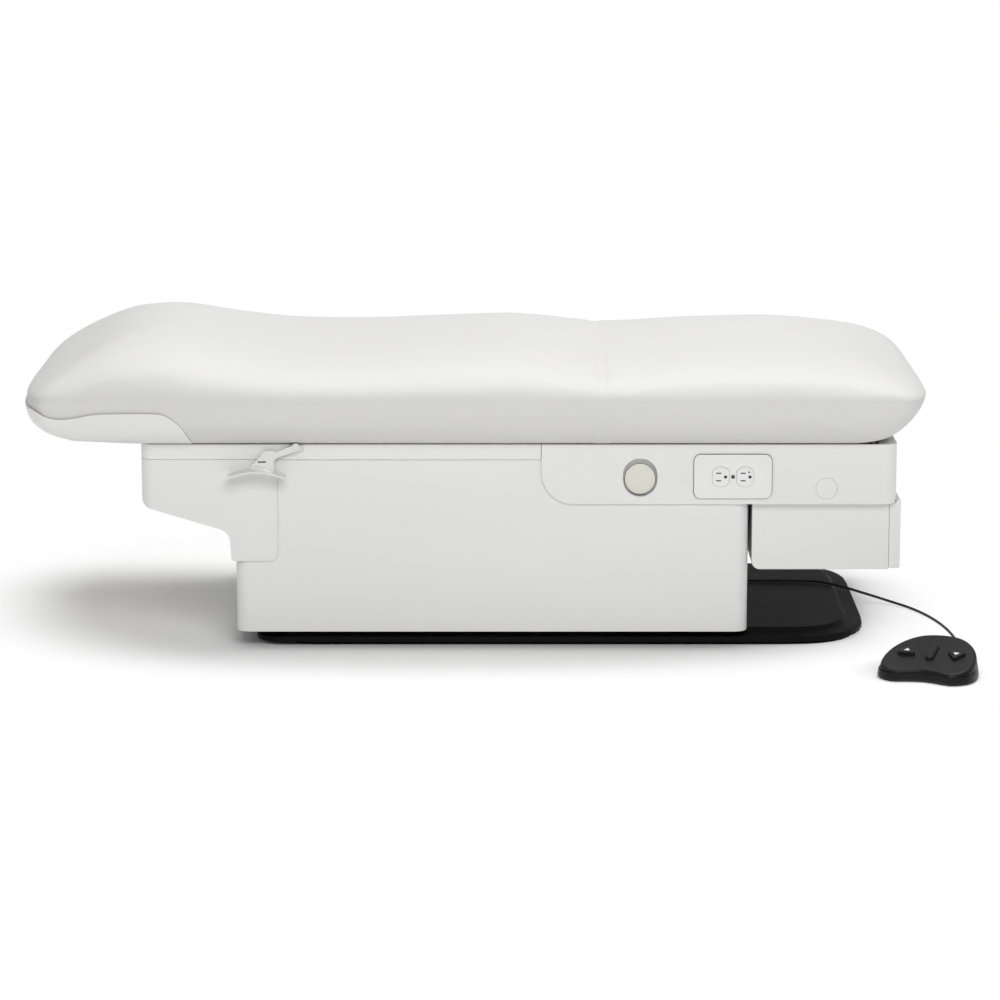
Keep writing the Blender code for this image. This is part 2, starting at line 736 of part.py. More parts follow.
def make_band(looks, frame):
    low = WRAP_TOP + SEAT_GAP
    wall = PANEL_WALL + WRAP_WALL
    band = prism(nose_plan(PANEL_OUTER, 0, HOUSING_HEAD - RUN_GAP), 'Z', low, low + BAND_HEIGHT)
    cut(band, prism(nose_plan(PANEL_OUTER - wall, wall, HOUSING_FOOT), 'Z', 0, 1))
    slot = RELEASE_HUB + PADDLE_CLEAR
    slot_low = RELEASE_Z - RELEASE_HUB - PADDLE_CLEAR / 4
    cut(band, block(RELEASE_X - slot, RELEASE_X + slot, -1, 1, slot_low, 1))
    add(band, 'top_band', looks['panel'], frame)


def make_housing(looks, frame):
    side = [
        (HOUSING_HEAD, HOUSING_TOP, 0), (HOUSING_HEAD, HOUSING_BOTTOM, HOUSING_SWEEP),
        (HOUSING_FOOT, HOUSING_BOTTOM, HOUSING_WALL), (HOUSING_FOOT, HOUSING_TOP, 0),
    ]
    housing = prism(rounded(side, 7), 'Y', -HOUSING_HALF, HOUSING_HALF)
    plan = rectangle(-THROUGH, HOUSING_FOOT, -HOUSING_HALF, HOUSING_HALF, 0)
    plan[1] = (HOUSING_FOOT, -HOUSING_HALF, HOUSING_CORNER)
    plan[2] = (HOUSING_FOOT, HOUSING_HALF, HOUSING_CORNER)
    keep(housing, prism(rounded(plan), 'Z', 0, 1))
    inner = rectangle(-THROUGH, HOUSING_FOOT - HOUSING_WALL, -PANEL_INNER, PANEL_INNER, 0)
    inner[1] = (inner[1][0], -PANEL_INNER, HOUSING_CORNER - HOUSING_WALL)
    inner[2] = (inner[2][0], PANEL_INNER, HOUSING_CORNER - HOUSING_WALL)
    cut(housing, prism(rounded(inner), 'Z', HOUSING_FLOOR, 1))
    cut(housing, block(-THROUGH, WRAP_FOOT + PANEL_WALL, -PANEL_INNER, PANEL_INNER, 0, 1))
    leg_half = LEG_HALF + LEG_ROOM
    leg_low = LEG_LOW - RUNNER_FLANGE - LEG_ROOM
    cut(housing, block(HOUSING_FOOT - HOUSING_CORNER, THROUGH, -leg_half, leg_half, leg_low, LEG_CEILING))
    reach = ACCESS_HOLE_LENGTH / 2 - ACCESS_HOLE_RADIUS
    slot = rectangle(
        ANCHOR_X - ACCESS_HOLE_RADIUS, ANCHOR_X + ACCESS_HOLE_RADIUS,
        ANCHOR_Z - ACCESS_HOLE_RADIUS, ANCHOR_Z + ACCESS_HOLE_RADIUS + 2 * reach, ACCESS_HOLE_RADIUS * 0.999,
    )
    cut(housing, prism(rounded(slot, 6), 'Y', -1, 1))
    cut(housing, prism(rounded(socket_body(RUN_GAP), 2), 'Y', -1, 0))
    cut(housing, bar('Y', (PLUG_X, HOUSING_BOTTOM + PLUG_RISE), PLUG_RADIUS + SEAT_GAP, -1, 0))
    add(housing, 'foot_housing', looks['panel'], frame)


def outlet_centre():
    return OUTLET_X, HOUSING_TOP - OUTLET_DROP


def socket_body(grow):
    x, z = outlet_centre()
    half_length = (SOCKET_PITCH + SOCKET_WIDTH) / 2 + SOCKET_MARGIN + grow
    half_height = SOCKET_HEIGHT / 2 + SOCKET_MARGIN + grow
    return rectangle(x - half_length, x + half_length, z - half_height, z + half_height, SOCKET_MARGIN)


def socket_face(side, grow):
    x, z = outlet_centre()
    middle = x + side * SOCKET_PITCH / 2
    half_width = SOCKET_WIDTH / 2 + grow
    half_height = SOCKET_HEIGHT / 2 + grow
    face = rectangle(middle - half_width, middle + half_width, z - half_height, z + half_height, SOCKET_ROUND)
    return rounded(face, 3)


def make_outlet(looks, frame):
    x, z = outlet_centre()
    half_length = OUTLET_LENGTH / 2
    half_height = OUTLET_HEIGHT / 2
    plan = rectangle(x - half_length, x + half_length, z - half_height, z + half_height, OUTLET_CORNER)
    back = -HOUSING_HALF - SEAT_GAP
    front = back - OUTLET_PLATE
    plate = prism(rounded(plan), 'Y', front, back)
    receptacle = prism(rounded(socket_body(0), 2), 'Y', -HOUSING_HALF, SOCKET_DEPTH - HOUSING_HALF)
    for side in (-1, 1):
        cut(plate, prism(socket_face(side, SEAT_GAP), 'Y', front - CUT_LAP, back + CUT_LAP))
        face = prism(socket_face(side, 0), 'Y', front - SOCKET_PROUD, SOCKET_DEPTH / 2 - HOUSING_HALF)
        join(receptacle, face)
    mouth = front - SOCKET_PROUD - CUT_LAP
    floor = front + PIN_DEPTH
    for side in (-1, 1):
        middle = x + side * SOCKET_PITCH / 2
        for height in (z - PIN_SLOT_RISE, z + PIN_SLOT_RISE):
            low, high = height - PIN_SLOT_HALF, height + PIN_SLOT_HALF
            cut(receptacle, block(middle + PIN_SLOT_START, middle + PIN_SLOT_END, mouth, floor, low, high))
        cut(receptacle, bar('Y', (middle + EARTH_PIN_X, z), EARTH_PIN_RADIUS, mouth, floor, 12))
    add(plate, 'outlet_plate', looks['outlet'], frame)
    add(receptacle, 'outlet_receptacle', looks['outlet'], frame)


def make_hole_plug(looks, frame):
    centre = (PLUG_X, HOUSING_BOTTOM + PLUG_RISE)
    plug = bar('Y', centre, PLUG_RADIUS, -HOUSING_HALF, -PANEL_INNER)
    inner = SEAT_GAP - PANEL_INNER
    join(plug, bar('Y', centre, PLUG_RADIUS + PLUG_RIM, inner, inner + PLUG_RIM))
    join(plug, bar('Y', centre, PLUG_RADIUS / 2, JOIN_LAP - HOUSING_HALF, inner + JOIN_LAP))
    add(plug, 'hole_plug', looks['panel'], frame)


# Drawer

def make_drawer(looks, chassis, drawer):
    half = DRAWER_WIDTH / 2
    top = HOUSING_BOTTOM - SEAT_GAP
    low = top - DRAWER_HEIGHT
    side = [
        (DRAWER_HEAD, top, 0), (DRAWER_HEAD, low, DRAWER_CORNER), (DRAWER_FOOT, low, 0),
        (DRAWER_FOOT, top, 0),
    ]
    casing = prism(rounded(side), 'Y', -half, half)
    inner = half - DRAWER_WALL
    floor = low + DRAWER_WALL
    cut(casing, block(DRAWER_HEAD + DRAWER_WALL, 1, -inner, inner, floor, top - DRAWER_WALL))
    add(casing, 'drawer_casing', looks['panel'], chassis)

    tray_half = inner - RUN_GAP
    tray_low = floor + SEAT_GAP
    tray_head = DRAWER_HEAD + DRAWER_WALL + TRAY_SETBACK
    tray = block(tray_head, DRAWER_FOOT, -tray_half, tray_half, tray_low, top - DRAWER_WALL - TRAY_DROP)
    hollow = tray_half - TRAY_WALL
    cut(tray, block(tray_head + TRAY_WALL, DRAWER_FOOT - TRAY_WALL, -hollow, hollow, tray_low + TRAY_WALL, 1))
    add(tray, 'drawer_tray', looks['panel'], drawer)

    inside = DRAWER_FOOT + SEAT_GAP
    step = HOUSING_FOOT + RUN_GAP
    outside = inside + DRAWER_FRONT
    front_low = low + FRONT_STEP
    lip = HOUSING_BOTTOM + DRAWER_LIP
    profile = [
        (inside, front_low, 0), (outside, front_low, FRONT_ROUND), (outside, lip, FRONT_ROUND / 2),
        (step, lip, FRONT_ROUND / 2), (step, top - RUN_GAP, 0), (inside, top - RUN_GAP, 0),
    ]
    front = prism(rounded(profile, 3), 'Y', -half, half)
    add(front, 'drawer_front', looks['panel'], drawer)


# Leg rest

def make_leg_rest(looks, chassis, leg):
    front = HOUSING_FOOT - LEG_SETBACK
    board = block(LEG_HEAD, front, -LEG_HALF, LEG_HALF, LEG_LOW, LEG_LOW + LEG_BOARD)
    panel_top = LEG_LOW + LEG_BOARD + LEG_PAD
    panel_half = LEG_HALF - JOIN_LAP
    panel = rectangle(front - LEG_FRONT, front + JOIN_LAP, LEG_LOW + JOIN_LAP, panel_top, LEG_FRONT / 4)
    join(board, prism(rounded(panel, 2), 'Y', -panel_half, panel_half))
    grip = rectangle(-GRIP_HALF, GRIP_HALF, panel_top - GRIP_DEPTH, panel_top + GRIP_DEPTH, GRIP_ROUND)
    cut(board, prism(rounded(grip, 3), 'X', front - 2 * LEG_FRONT, front + LEG_FRONT))
    add(board, 'leg_board', looks['panel'], leg)

    pad_low = LEG_LOW + LEG_BOARD + SEAT_GAP
    pad_half = LEG_HALF - LEG_PAD_MARGIN
    pad_head = LEG_HEAD + LEG_PAD_MARGIN / 3
    pad_foot = front - LEG_FRONT - SEAT_GAP
    rings = []
    for inset, rise in LEG_PAD_LEVELS:
        half = pad_half - inset
        edge = rectangle(pad_head + inset, pad_foot - inset, -half, half, LEG_PAD_CORNER)
        rings.append([(a, b, pad_low + rise * (LEG_PAD - LEG_SETBACK)) for a, b in rounded(edge)])
    add(loft(rings), 'leg_pad', looks['upholstery'], leg)

    flange_top = LEG_LOW - SEAT_GAP
    web_out = LEG_HALF + RUN_GAP + RUNNER_WEB
    web_in = LEG_HALF + RUN_GAP
    flange_in = web_out - RUNNER_REACH
    runner_head = LEG_HEAD + RUNNER_MARGIN
    runner_foot = HOUSING_FOOT - HOUSING_WALL - RUNNER_MARGIN
    for name, side in (('near', -1), ('far', 1)):
        profile = [
            (side * flange_in, flange_top - RUNNER_FLANGE), (side * web_out, flange_top - RUNNER_FLANGE),
            (side * web_out, LEG_CEILING - RUN_GAP), (side * web_in, LEG_CEILING - RUN_GAP),
            (side * web_in, flange_top), (side * flange_in, flange_top),
        ]
        runner = prism(profile, 'X', runner_head, runner_foot)
        add(runner, f'leg_runner_{name}', looks['bright'], chassis)


# Chassis

def mirrored_block(x_low, x_high, y_low, y_high, z_low, z_high):
    spans = ((-y_high, -y_low), (y_low, y_high))
    return [block(x_low, x_high, low, high, z_low, z_high) for low, high in spans]


def make_chassis(looks, frame):
    frame_work, far_rail = mirrored_block(RAIL_HEAD, RAIL_FOOT, RAIL_IN, RAIL_OUT, RAIL_BOTTOM, RAIL_TOP)
    member_in = RAIL_IN + RAIL_WIDTH / 3
    low = RAIL_BOTTOM + MEMBER_STEP
    high = RAIL_TOP - MEMBER_STEP
    half = MEMBER_WIDTH / 2
    spans = [
        (RAIL_HEAD + MEMBER_STEP, RAIL_HEAD + half, low), (COLUMN_HEAD_X - half, COLUMN_HEAD_X + half, low),
        (COLUMN_FOOT_X - half, COLUMN_FOOT_X + half, low),
        (RAIL_FOOT - half, RAIL_FOOT - MEMBER_STEP, LEG_CEILING),
    ]
    for x_low, x_high, z_low in spans:
        join(frame_work, block(x_low, x_high, -member_in, member_in, z_low, high))
    join(frame_work, far_rail)

    wrap_reach = WRAP_HALF - WRAP_WALL - SEAT_GAP
    panel_reach = PANEL_INNER - SEAT_GAP
    tab_low = RAIL_BOTTOM + TAB_RISE
    places = [(tab_x, panel_reach) for tab_x in PANEL_TABS] + [(tab_x, wrap_reach) for tab_x in WRAP_TABS]
    for tab_x, reach in places:
        tabs = mirrored_block(tab_x, tab_x + TAB_WIDTH, member_in, reach, tab_low, tab_low + TAB_THICK)
        join(frame_work, *tabs)
    stand_top = BOARD_BOTTOM - SEAT_GAP
    for stand_x in STANDS:
        stands = mirrored_block(
            stand_x, stand_x + TAB_WIDTH, RAIL_IN + STAND_INSET, RAIL_OUT - STAND_INSET, RAIL_TOP - JOIN_LAP,
            stand_top,
        )
        join(frame_work, *stands)
    ear = ANCHOR_RADIUS + EAR_MARGIN
    ear_in = RAIL_IN + EAR_INSET
    ears = mirrored_block(
        ANCHOR_X - ear, ANCHOR_X + ear, ear_in, ear_in + EAR_THICK, ANCHOR_Z - ear, RAIL_BOTTOM + JOIN_LAP,
    )
    join(frame_work, *ears)
    cut(frame_work, bar('Y', (ANCHOR_X, ANCHOR_Z), ANCHOR_RADIUS + SEAT_GAP, -1, 1))
    add(frame_work, 'chassis_frame', looks['steel'], frame)

    pad_low = RAIL_TOP + SEAT_GAP
    pad_in, pad_out = RAIL_IN + REST_PAD_INSET, RAIL_OUT - REST_PAD_INSET
    pad_foot = REST_PAD_HEAD + REST_PAD_LENGTH
    pads = mirrored_block(REST_PAD_HEAD, pad_foot, pad_in, pad_out, pad_low, pad_low + REST_PAD)
    for name, pad in zip(('near', 'far'), pads):
        add(pad, f'back_rest_pad_{name}', looks['rubber'], frame)


def make_anchor(looks, frame):
    outer = PANEL_INNER - CAP_RECESS
    inner = outer - CAP_THICK
    bore = ANCHOR_RADIUS - ANCHOR_WALL
    tube = pipe('Y', (ANCHOR_X, ANCHOR_Z), ANCHOR_RADIUS, bore, SEAT_GAP - inner, inner - SEAT_GAP)
    add(tube, 'anchor_tube', looks['bright'], frame)
    for name, side in (('near', -1), ('far', 1)):
        ends = sorted((side * inner, side * outer))
        cap = bar('Y', (ANCHOR_X, ANCHOR_Z), CAP_RADIUS, *ends, 32)
        stub = sorted((side * (inner - CAP_STUB), side * (inner + JOIN_LAP)))
        join(cap, bar('Y', (ANCHOR_X, ANCHOR_Z), bore - SEAT_GAP, *stub))
        add(cap, f'anchor_cap_{name}', looks['beige'], frame)


# Back hinge

def make_hinge(looks, chassis, back):
    centre = (CREASE_X, HINGE_Z)
    plate_top = HINGE_Z - KNUCKLE_RADIUS - HINGE_ROOM
    pitch = 2 * LEAF_HALF / KNUCKLES
    for name, side, first, frame in (('seat', 1, 0, chassis), ('back', -1, 1, back)):
        inner, outer = sorted((CREASE_X + side * LEAF_OFFSET, CREASE_X + side * (LEAF_OFFSET + LEAF_THICK)))
        leaf = block(inner, outer, -LEAF_HALF, LEAF_HALF, BOARD_BOTTOM, plate_top)
        for index in range(first, KNUCKLES, 2):
            y_low = pitch * index - LEAF_HALF + KNUCKLE_GAP / 2
            y_high = y_low + pitch - KNUCKLE_GAP
            join(leaf, block(inner, outer, y_low, y_high, plate_top - JOIN_LAP, HINGE_Z))
            join(leaf, bar('Y', centre, KNUCKLE_RADIUS, y_low, y_high, 16))
        cut(leaf, bar('Y', centre, HINGE_ROD_RADIUS + SEAT_GAP, -1, 1, 16))
        add(leaf, f'hinge_leaf_{name}', looks['bright'], frame)
    rod = bar('Y', centre, HINGE_ROD_RADIUS, KNUCKLE_GAP - LEAF_HALF, LEAF_HALF - KNUCKLE_GAP, 16)
    add(rod, 'hinge_rod', looks['bright'], chassis)


# Gas springs

def gas_pin():
    arm = math.hypot(ANCHOR_X - CREASE_X, HINGE_Z - ANCHOR_Z)
    pin_z = BOARD_BOTTOM - GAS_PIN_DROP
    return CREASE_X - math.sqrt(arm ** 2 - (HINGE_Z - pin_z) ** 2), pin_z


def aim(piece, start, end):
    turn = math.atan2(start[1] - end[1], end[0] - start[0])
    piece.data.transform(Matrix.Rotation(turn, 4, 'Y'))
    piece.data.transform(Matrix.Translation((start[0], 0, start[1])))
    return piece


def make_gas_springs(looks, cylinders, rods):
    anchor = (ANCHOR_X, ANCHOR_Z)
    pin = gas_pin()
    for name, side in (('near', -1), ('far', 1)):
        y_low = side * GAS_Y - GAS_RADIUS
        y_high = side * GAS_Y + GAS_RADIUS
        centre = (side * GAS_Y, 0)
        cylinder = bar('Y', (0, 0), GAS_EYE_RADIUS, y_low, y_high)
        join(cylinder, bar('X', centre, GAS_RADIUS - SEAT_GAP, GAS_EYE_RADIUS / 2, GAS_CYLINDER))
        cut(cylinder, bar('Y', (0, 0), ANCHOR_RADIUS + SEAT_GAP, -1, 1))
        cut(cylinder, bar('X', centre, GAS_ROD_RADIUS + SEAT_GAP, GAS_EYE_RADIUS + JOIN_LAP, THROUGH, 16))
        add(aim(cylinder, anchor, pin), f'gas_cylinder_{name}', looks['pedal'], cylinders)

        rod = bar('Y', (0, 0), GAS_PIN_EYE, y_low + RUN_GAP, y_high - RUN_GAP)
        join(rod, bar('X', centre, GAS_ROD_RADIUS, GAS_PIN_EYE / 2, GAS_ROD, 16))
        cut(rod, bar('Y', (0, 0), GAS_PIN_RADIUS + SEAT_GAP, -1, 1, 16))
        add(aim(rod, pin, anchor), f'gas_rod_{name}', looks['bright'], rods)


# Boards and upholstery

def board_end(side):
    return CREASE_X + side * (LEAF_OFFSET + LEAF_THICK + SEAT_GAP)


def board_plan(start, end, grow=0.0):
    half = BOARD_WIDTH / 2 + grow
    end = end + math.copysign(grow, end - start)
    corner = BOARD_CORNER
    return rounded([(start, -half, 0), (end, -half, corner), (end, half, corner), (start, half, 0)])


def make_seat_board(looks, frame):
    board = prism(board_plan(board_end(1), BOARD_FOOT), 'Z', BOARD_BOTTOM, BOARD_TOP)
    for slot in gas_slots(0, ANCHOR_X - GAS_SEAT_SETBACK, BOARD_BOTTOM - CUT_LAP, BOARD_TOP + CUT_LAP):
        cut(board, slot)
    add(board, 'seat_board', looks['board'], frame)


def gas_slots(x_low, x_high, z_low, z_high):
    reach = GAS_RADIUS + GAS_SLOT_ROOM
    return mirrored_block(x_low, x_high, GAS_Y - reach, GAS_Y + reach, z_low, z_high)


def make_back_board(looks, frame):
    board = prism(board_plan(board_end(-1), BOARD_HEAD), 'Z', BOARD_BOTTOM, BOARD_TOP)
    pin_x, pin_z = gas_pin()
    for slot in gas_slots(pin_x + 1.5 * GAS_PIN_EYE, 1, BOARD_BOTTOM - CUT_LAP, BOARD_TOP + CUT_LAP):
        cut(board, slot)
    cheek = GAS_Y + GAS_RADIUS + GAS_SLOT_ROOM - RUN_GAP
    cheek_half = 1.5 * GAS_PIN_EYE
    cheeks = mirrored_block(
        pin_x - cheek_half, pin_x + cheek_half, cheek, cheek + CHEEK_THICK, pin_z - GAS_PIN_EYE,
        BOARD_TOP - JOIN_LAP,
    )
    join(board, *cheeks)
    for side in (-1, 1):
        ends = sorted((side * (GAS_Y - GAS_RADIUS + JOIN_LAP), side * (cheek + CHEEK_THICK - JOIN_LAP)))
        join(board, bar('Y', (pin_x, pin_z), GAS_PIN_RADIUS, *ends, 16))
    hanger = RELEASE_RADIUS + HANGER_WALL
    hanger_out = RAIL_IN - HANGER_INSET
    hangers = mirrored_block(
        RELEASE_X - hanger, RELEASE_X + hanger, hanger_out - HANGER_THICK, hanger_out, RELEASE_Z - hanger,
        BOARD_TOP - JOIN_LAP,
    )
    join(board, *hangers)
    shaft_hole = bar('Y', (RELEASE_X, RELEASE_Z), RELEASE_RADIUS + SEAT_GAP, -1, 1, 16)
    cut(board, shaft_hole)
    add(board, 'back_board', looks['board'], frame)


def crown_share(inset):
    return math.sqrt(1 - (1 - inset) ** CROWN_POWER)


def tuck_share(height, power):
    return 1 - (1 - (1 - height) ** power) ** (1 / power)


def cushion_end(at_foot):
    if at_foot:
        return CUSHION_FOOT, FOOT_BOW, FOOT_SQUARE, FOOT_RUN, FOOT_TUCK, FOOT_POWER
    return CUSHION_HEAD, HEAD_BOW, HEAD_SQUARE, HEAD_RUN, HEAD_TUCK, HEAD_POWER


def cushion_plan(length, half_width, bow, square, crease_inset, spans):
    straight = length - bow
    pitch = (straight - crease_inset) / spans
    near = [(crease_inset + pitch * step, -half_width) for step in range(spans + 1)]
    for step in range(1, CORNER_STEPS):
        turn = math.radians(90 * step / CORNER_STEPS)
        along = bow * math.sin(turn) ** (2 / square)
        near.append((straight + along, -half_width * math.cos(turn) ** (2 / square)))
    turns = [math.pi * step / CREASE_STEPS for step in range(1, CREASE_STEPS)]
    crease = [(crease_inset, half_width * math.cos(turn)) for turn in turns]
    return near + [(length, 0.0)] + [(u, -y) for u, y in reversed(near)] + crease


def lower_rings(at_foot, spans, grow, lift):
    end_x, bow, square, run, tuck, power = cushion_end(at_foot)
    length = abs(end_x - CREASE_X) + grow
    rings = []
    for share in LOWER_SHARES:
        half_width = CUSHION_WIDTH / 2 + grow - SIDE_TUCK * tuck_share(share, SIDE_POWER)
        reach = length - tuck * tuck_share(share, power)
        height = BOARD_BOTTOM + lift + share * (CUSHION_WIDEST - lift)
        plan = cushion_plan(reach, half_width, bow, square, CREASE_GAP / 2, spans)
        rings.append([(u, y, height) for u, y in plan])
    return rings


def upper_rings(at_foot, spans, grow):
    end_x, bow, square, run, tuck, power = cushion_end(at_foot)
    direction = 1 if at_foot else -1
    length = abs(end_x - CREASE_X) + grow
    half = CUSHION_WIDTH / 2 + grow
    rings = []
    for index, inset in enumerate(UPPER_SHARES):
        turn = math.radians(90 * min(index / CREASE_TURNS, 1))
        past = max(inset - UPPER_SHARES[CREASE_TURNS], 0)
        crease_inset = CREASE_GAP / 2 + CREASE_ROUND * (1 - math.cos(turn)) + CREASE_RUN * past
        dip = CREASE_ROUND * (1 - math.sin(turn))
        width = half * (1 - inset)
        plan = cushion_plan(length - run * inset, width, bow * (1 - inset), square, crease_inset, spans)
        ring = []
        for place, (u, y) in enumerate(plan):
            at_crease = place > len(plan) - CREASE_STEPS
            rise = crown_share(1 - abs(y) / half) if at_crease else crown_share(inset)
            crown = smooth_value(TOP_LINE, CREASE_X + direction * u) - CUSHION_WIDEST
            ring.append((u, y, WIDEST_Z + crown * rise - (dip if at_crease else 0)))
        rings.append(ring)
    return rings


def cushion_form(at_foot, grow=0.0, lift=0.0, skirt=0.0):
    spans = SEAT_SPANS if at_foot else BACK_SPANS
    direction = 1 if at_foot else -1
    rings = lower_rings(at_foot, spans, grow, lift) + upper_rings(at_foot, spans, grow)
    if skirt:
        rings.insert(0, [(u, y, z - skirt) for u, y, z in rings[0]])
    return loft([[(CREASE_X + direction * u, y, z) for u, y, z in ring] for ring in rings], close_top=False)


def shell_region(grow):
    edge = [(CUSHION_HEAD + along + grow, BOARD_BOTTOM + height + grow, 0) for along, height in SHELL_EDGE]
    curve = [(x, z) for x, z, flat in smooth_route(edge, SHELL_STEP)]
    far = CUSHION_HEAD - 2 * HEAD_BOW
    outline = [(far, curve[-1][1])] + list(reversed(curve)) + [(far, curve[0][1])]
    return prism(outline, 'Y', -THROUGH, THROUGH)


def back_pocket():
    plan = board_plan(CREASE_X + CUT_LAP, BOARD_HEAD, SEAT_GAP)
    return prism(plan, 'Z', BOARD_BOTTOM - CUT_LAP, BOARD_TOP + SEAT_GAP)


def make_head_shell(looks, frame):
    shell = cut(
        cushion_form(False, SHELL_PROUD),
        cushion_form(False, SHELL_PROUD - SHELL_WALL, SHELL_WALL),
    )
    keep(shell, shell_region(0))
    cut(shell, back_pocket())
    add(shell, 'head_shell', looks['panel'], frame)


def make_back_cushion(looks, frame):
    low = BOARD_BOTTOM - CUT_LAP
    cushion = cushion_form(False)
    rebate = cut(
        cushion_form(False, 2 * SHELL_PROUD, skirt=CUT_LAP),
        cushion_form(False, SHELL_PROUD - SHELL_WALL - SEAT_GAP, SHELL_WALL + SEAT_GAP),
    )
    cut(cushion, keep(rebate, shell_region(SEAT_GAP)))
    cut(cushion, back_pocket())
    recess = CREASE_X - KNUCKLE_RADIUS - HINGE_ROOM
    leaf = LEAF_HALF + KNUCKLE_GAP
    cut(cushion, block(recess, 1, -leaf, leaf, low, 1))
    pin_x = gas_pin()[0]
    for slot in gas_slots(pin_x - 2 * GAS_PIN_EYE, 1, low, HINGE_Z - GAS_BACK_SLOT):
        cut(cushion, slot)
    add(cushion, 'back_cushion', looks['upholstery'], frame)


def make_seat_cushion(looks, frame):
    low = BOARD_BOTTOM - CUT_LAP
    cushion = cushion_form(True)
    pocket = board_plan(CREASE_X - CUT_LAP, BOARD_FOOT, SEAT_GAP)
    cut(cushion, prism(pocket, 'Z', low, BOARD_TOP + SEAT_GAP))
    recess = CREASE_X + KNUCKLE_RADIUS + HINGE_ROOM
    leaf = LEAF_HALF + KNUCKLE_GAP
    cut(cushion, block(0, recess, -leaf, leaf, low, 1))
    for slot in gas_slots(0, ANCHOR_X - GAS_SEAT_SETBACK, low, BOARD_BOTTOM + GAS_SEAT_SLOT):
        cut(cushion, slot)
    add(cushion, 'seat_cushion', looks['upholstery'], frame)


# Back release

def paddle_slot(crest):
    middle = PADDLE_X + PADDLE_SLOT_X
    low = crest + PADDLE_SLOT_RISE
    half = PADDLE_SLOT_LENGTH / 2
    corner = PADDLE_SLOT_HEIGHT / 2 - SEAT_GAP
    slot = rectangle(middle - half, middle + half, low, low + PADDLE_SLOT_HEIGHT, corner)
    return prism(rounded(slot, 3), 'Y', -THROUGH, THROUGH)


def make_release(looks, frame):
    arm_in = PANEL_OUTER + PADDLE_CLEAR
    arm_out = arm_in + RELEASE_ARM
    shaft = bar('Y', (RELEASE_X, RELEASE_Z), RELEASE_RADIUS, -arm_out, arm_out, 16)
    add(shaft, 'release_shaft', looks['bright'], frame)
    crest = RELEASE_Z - PADDLE_DROP
    half = PADDLE_LENGTH / 2
    bow = (half ** 2 + PADDLE_BOW ** 2) / (2 * PADDLE_BOW)
    reach = math.asin(half / bow)
    turns = [reach * step / 6 for step in range(-6, 7)]
    over = [(PADDLE_X + bow * math.sin(turn), crest - bow + bow * math.cos(turn)) for turn in turns]
    inner_bow = bow - PADDLE_THICK
    base = crest - bow
    under = [(PADDLE_X + inner_bow * math.sin(turn), base + inner_bow * math.cos(turn)) for turn in turns]
    neck = [(PADDLE_X + along, crest + rise) for along, rise in PADDLE_NECK]
    for name, side in (('near', -1), ('far', 1)):
        depth = sorted((side * (arm_in - SEAT_GAP), side * (arm_in + PADDLE_DEPTH)))
        paddle = prism(over + list(reversed(under)), 'Y', *depth)
        join(paddle, prism(neck, 'Y', *sorted((side * arm_in, side * arm_out))))
        hub = sorted((side * (arm_in - RUN_GAP), side * (arm_out + RUN_GAP)))
        join(paddle, bar('Y', (RELEASE_X, RELEASE_Z), RELEASE_HUB, *hub))
        cut(paddle, bar('Y', (RELEASE_X, RELEASE_Z), RELEASE_RADIUS + SEAT_GAP, -1, 1, 16))
        cut(paddle, paddle_slot(crest))
        add(paddle, f'release_paddle_{name}', looks['bright'], frame)


# Foot pedal

def pedal_place():
    return Matrix.Translation((PEDAL_X, PEDAL_Y, 0)) @ Matrix.Rotation(PEDAL_TURN, 4, 'Z')


def key_place():
    return pedal_place() @ Matrix.Translation((0, 0, PEDAL_HEIGHT)) @ Matrix.Rotation(PEDAL_SLOPE, 4, 'X')


def moved(piece, place):
    piece.data.transform(place)
    return piece


def pedal_ring(scale, height):
    half = PEDAL_OUTLINE[:-1]
    knots = PEDAL_OUTLINE + [(-x, y) for x, y in reversed(half[1:])]
    outline = smooth_route(knots, PEDAL_STEP, closed=True)
    return [(x * scale, y * scale, height(y * scale)) for x, y in outline]


def key_outline(side, grow):
    size = KEY_SIZE + grow * 6 / math.sqrt(3)
    height = size * math.sqrt(3) / 2
    point = -side
    middle = side * KEY_SPREAD
    corners = [(middle - size / 2, -point * height / 3), (middle + size / 2, -point * height / 3),
               (middle, point * height * 2 / 3)]
    return rounded([(x, y, KEY_ROUND + grow) for x, y in corners], 3)


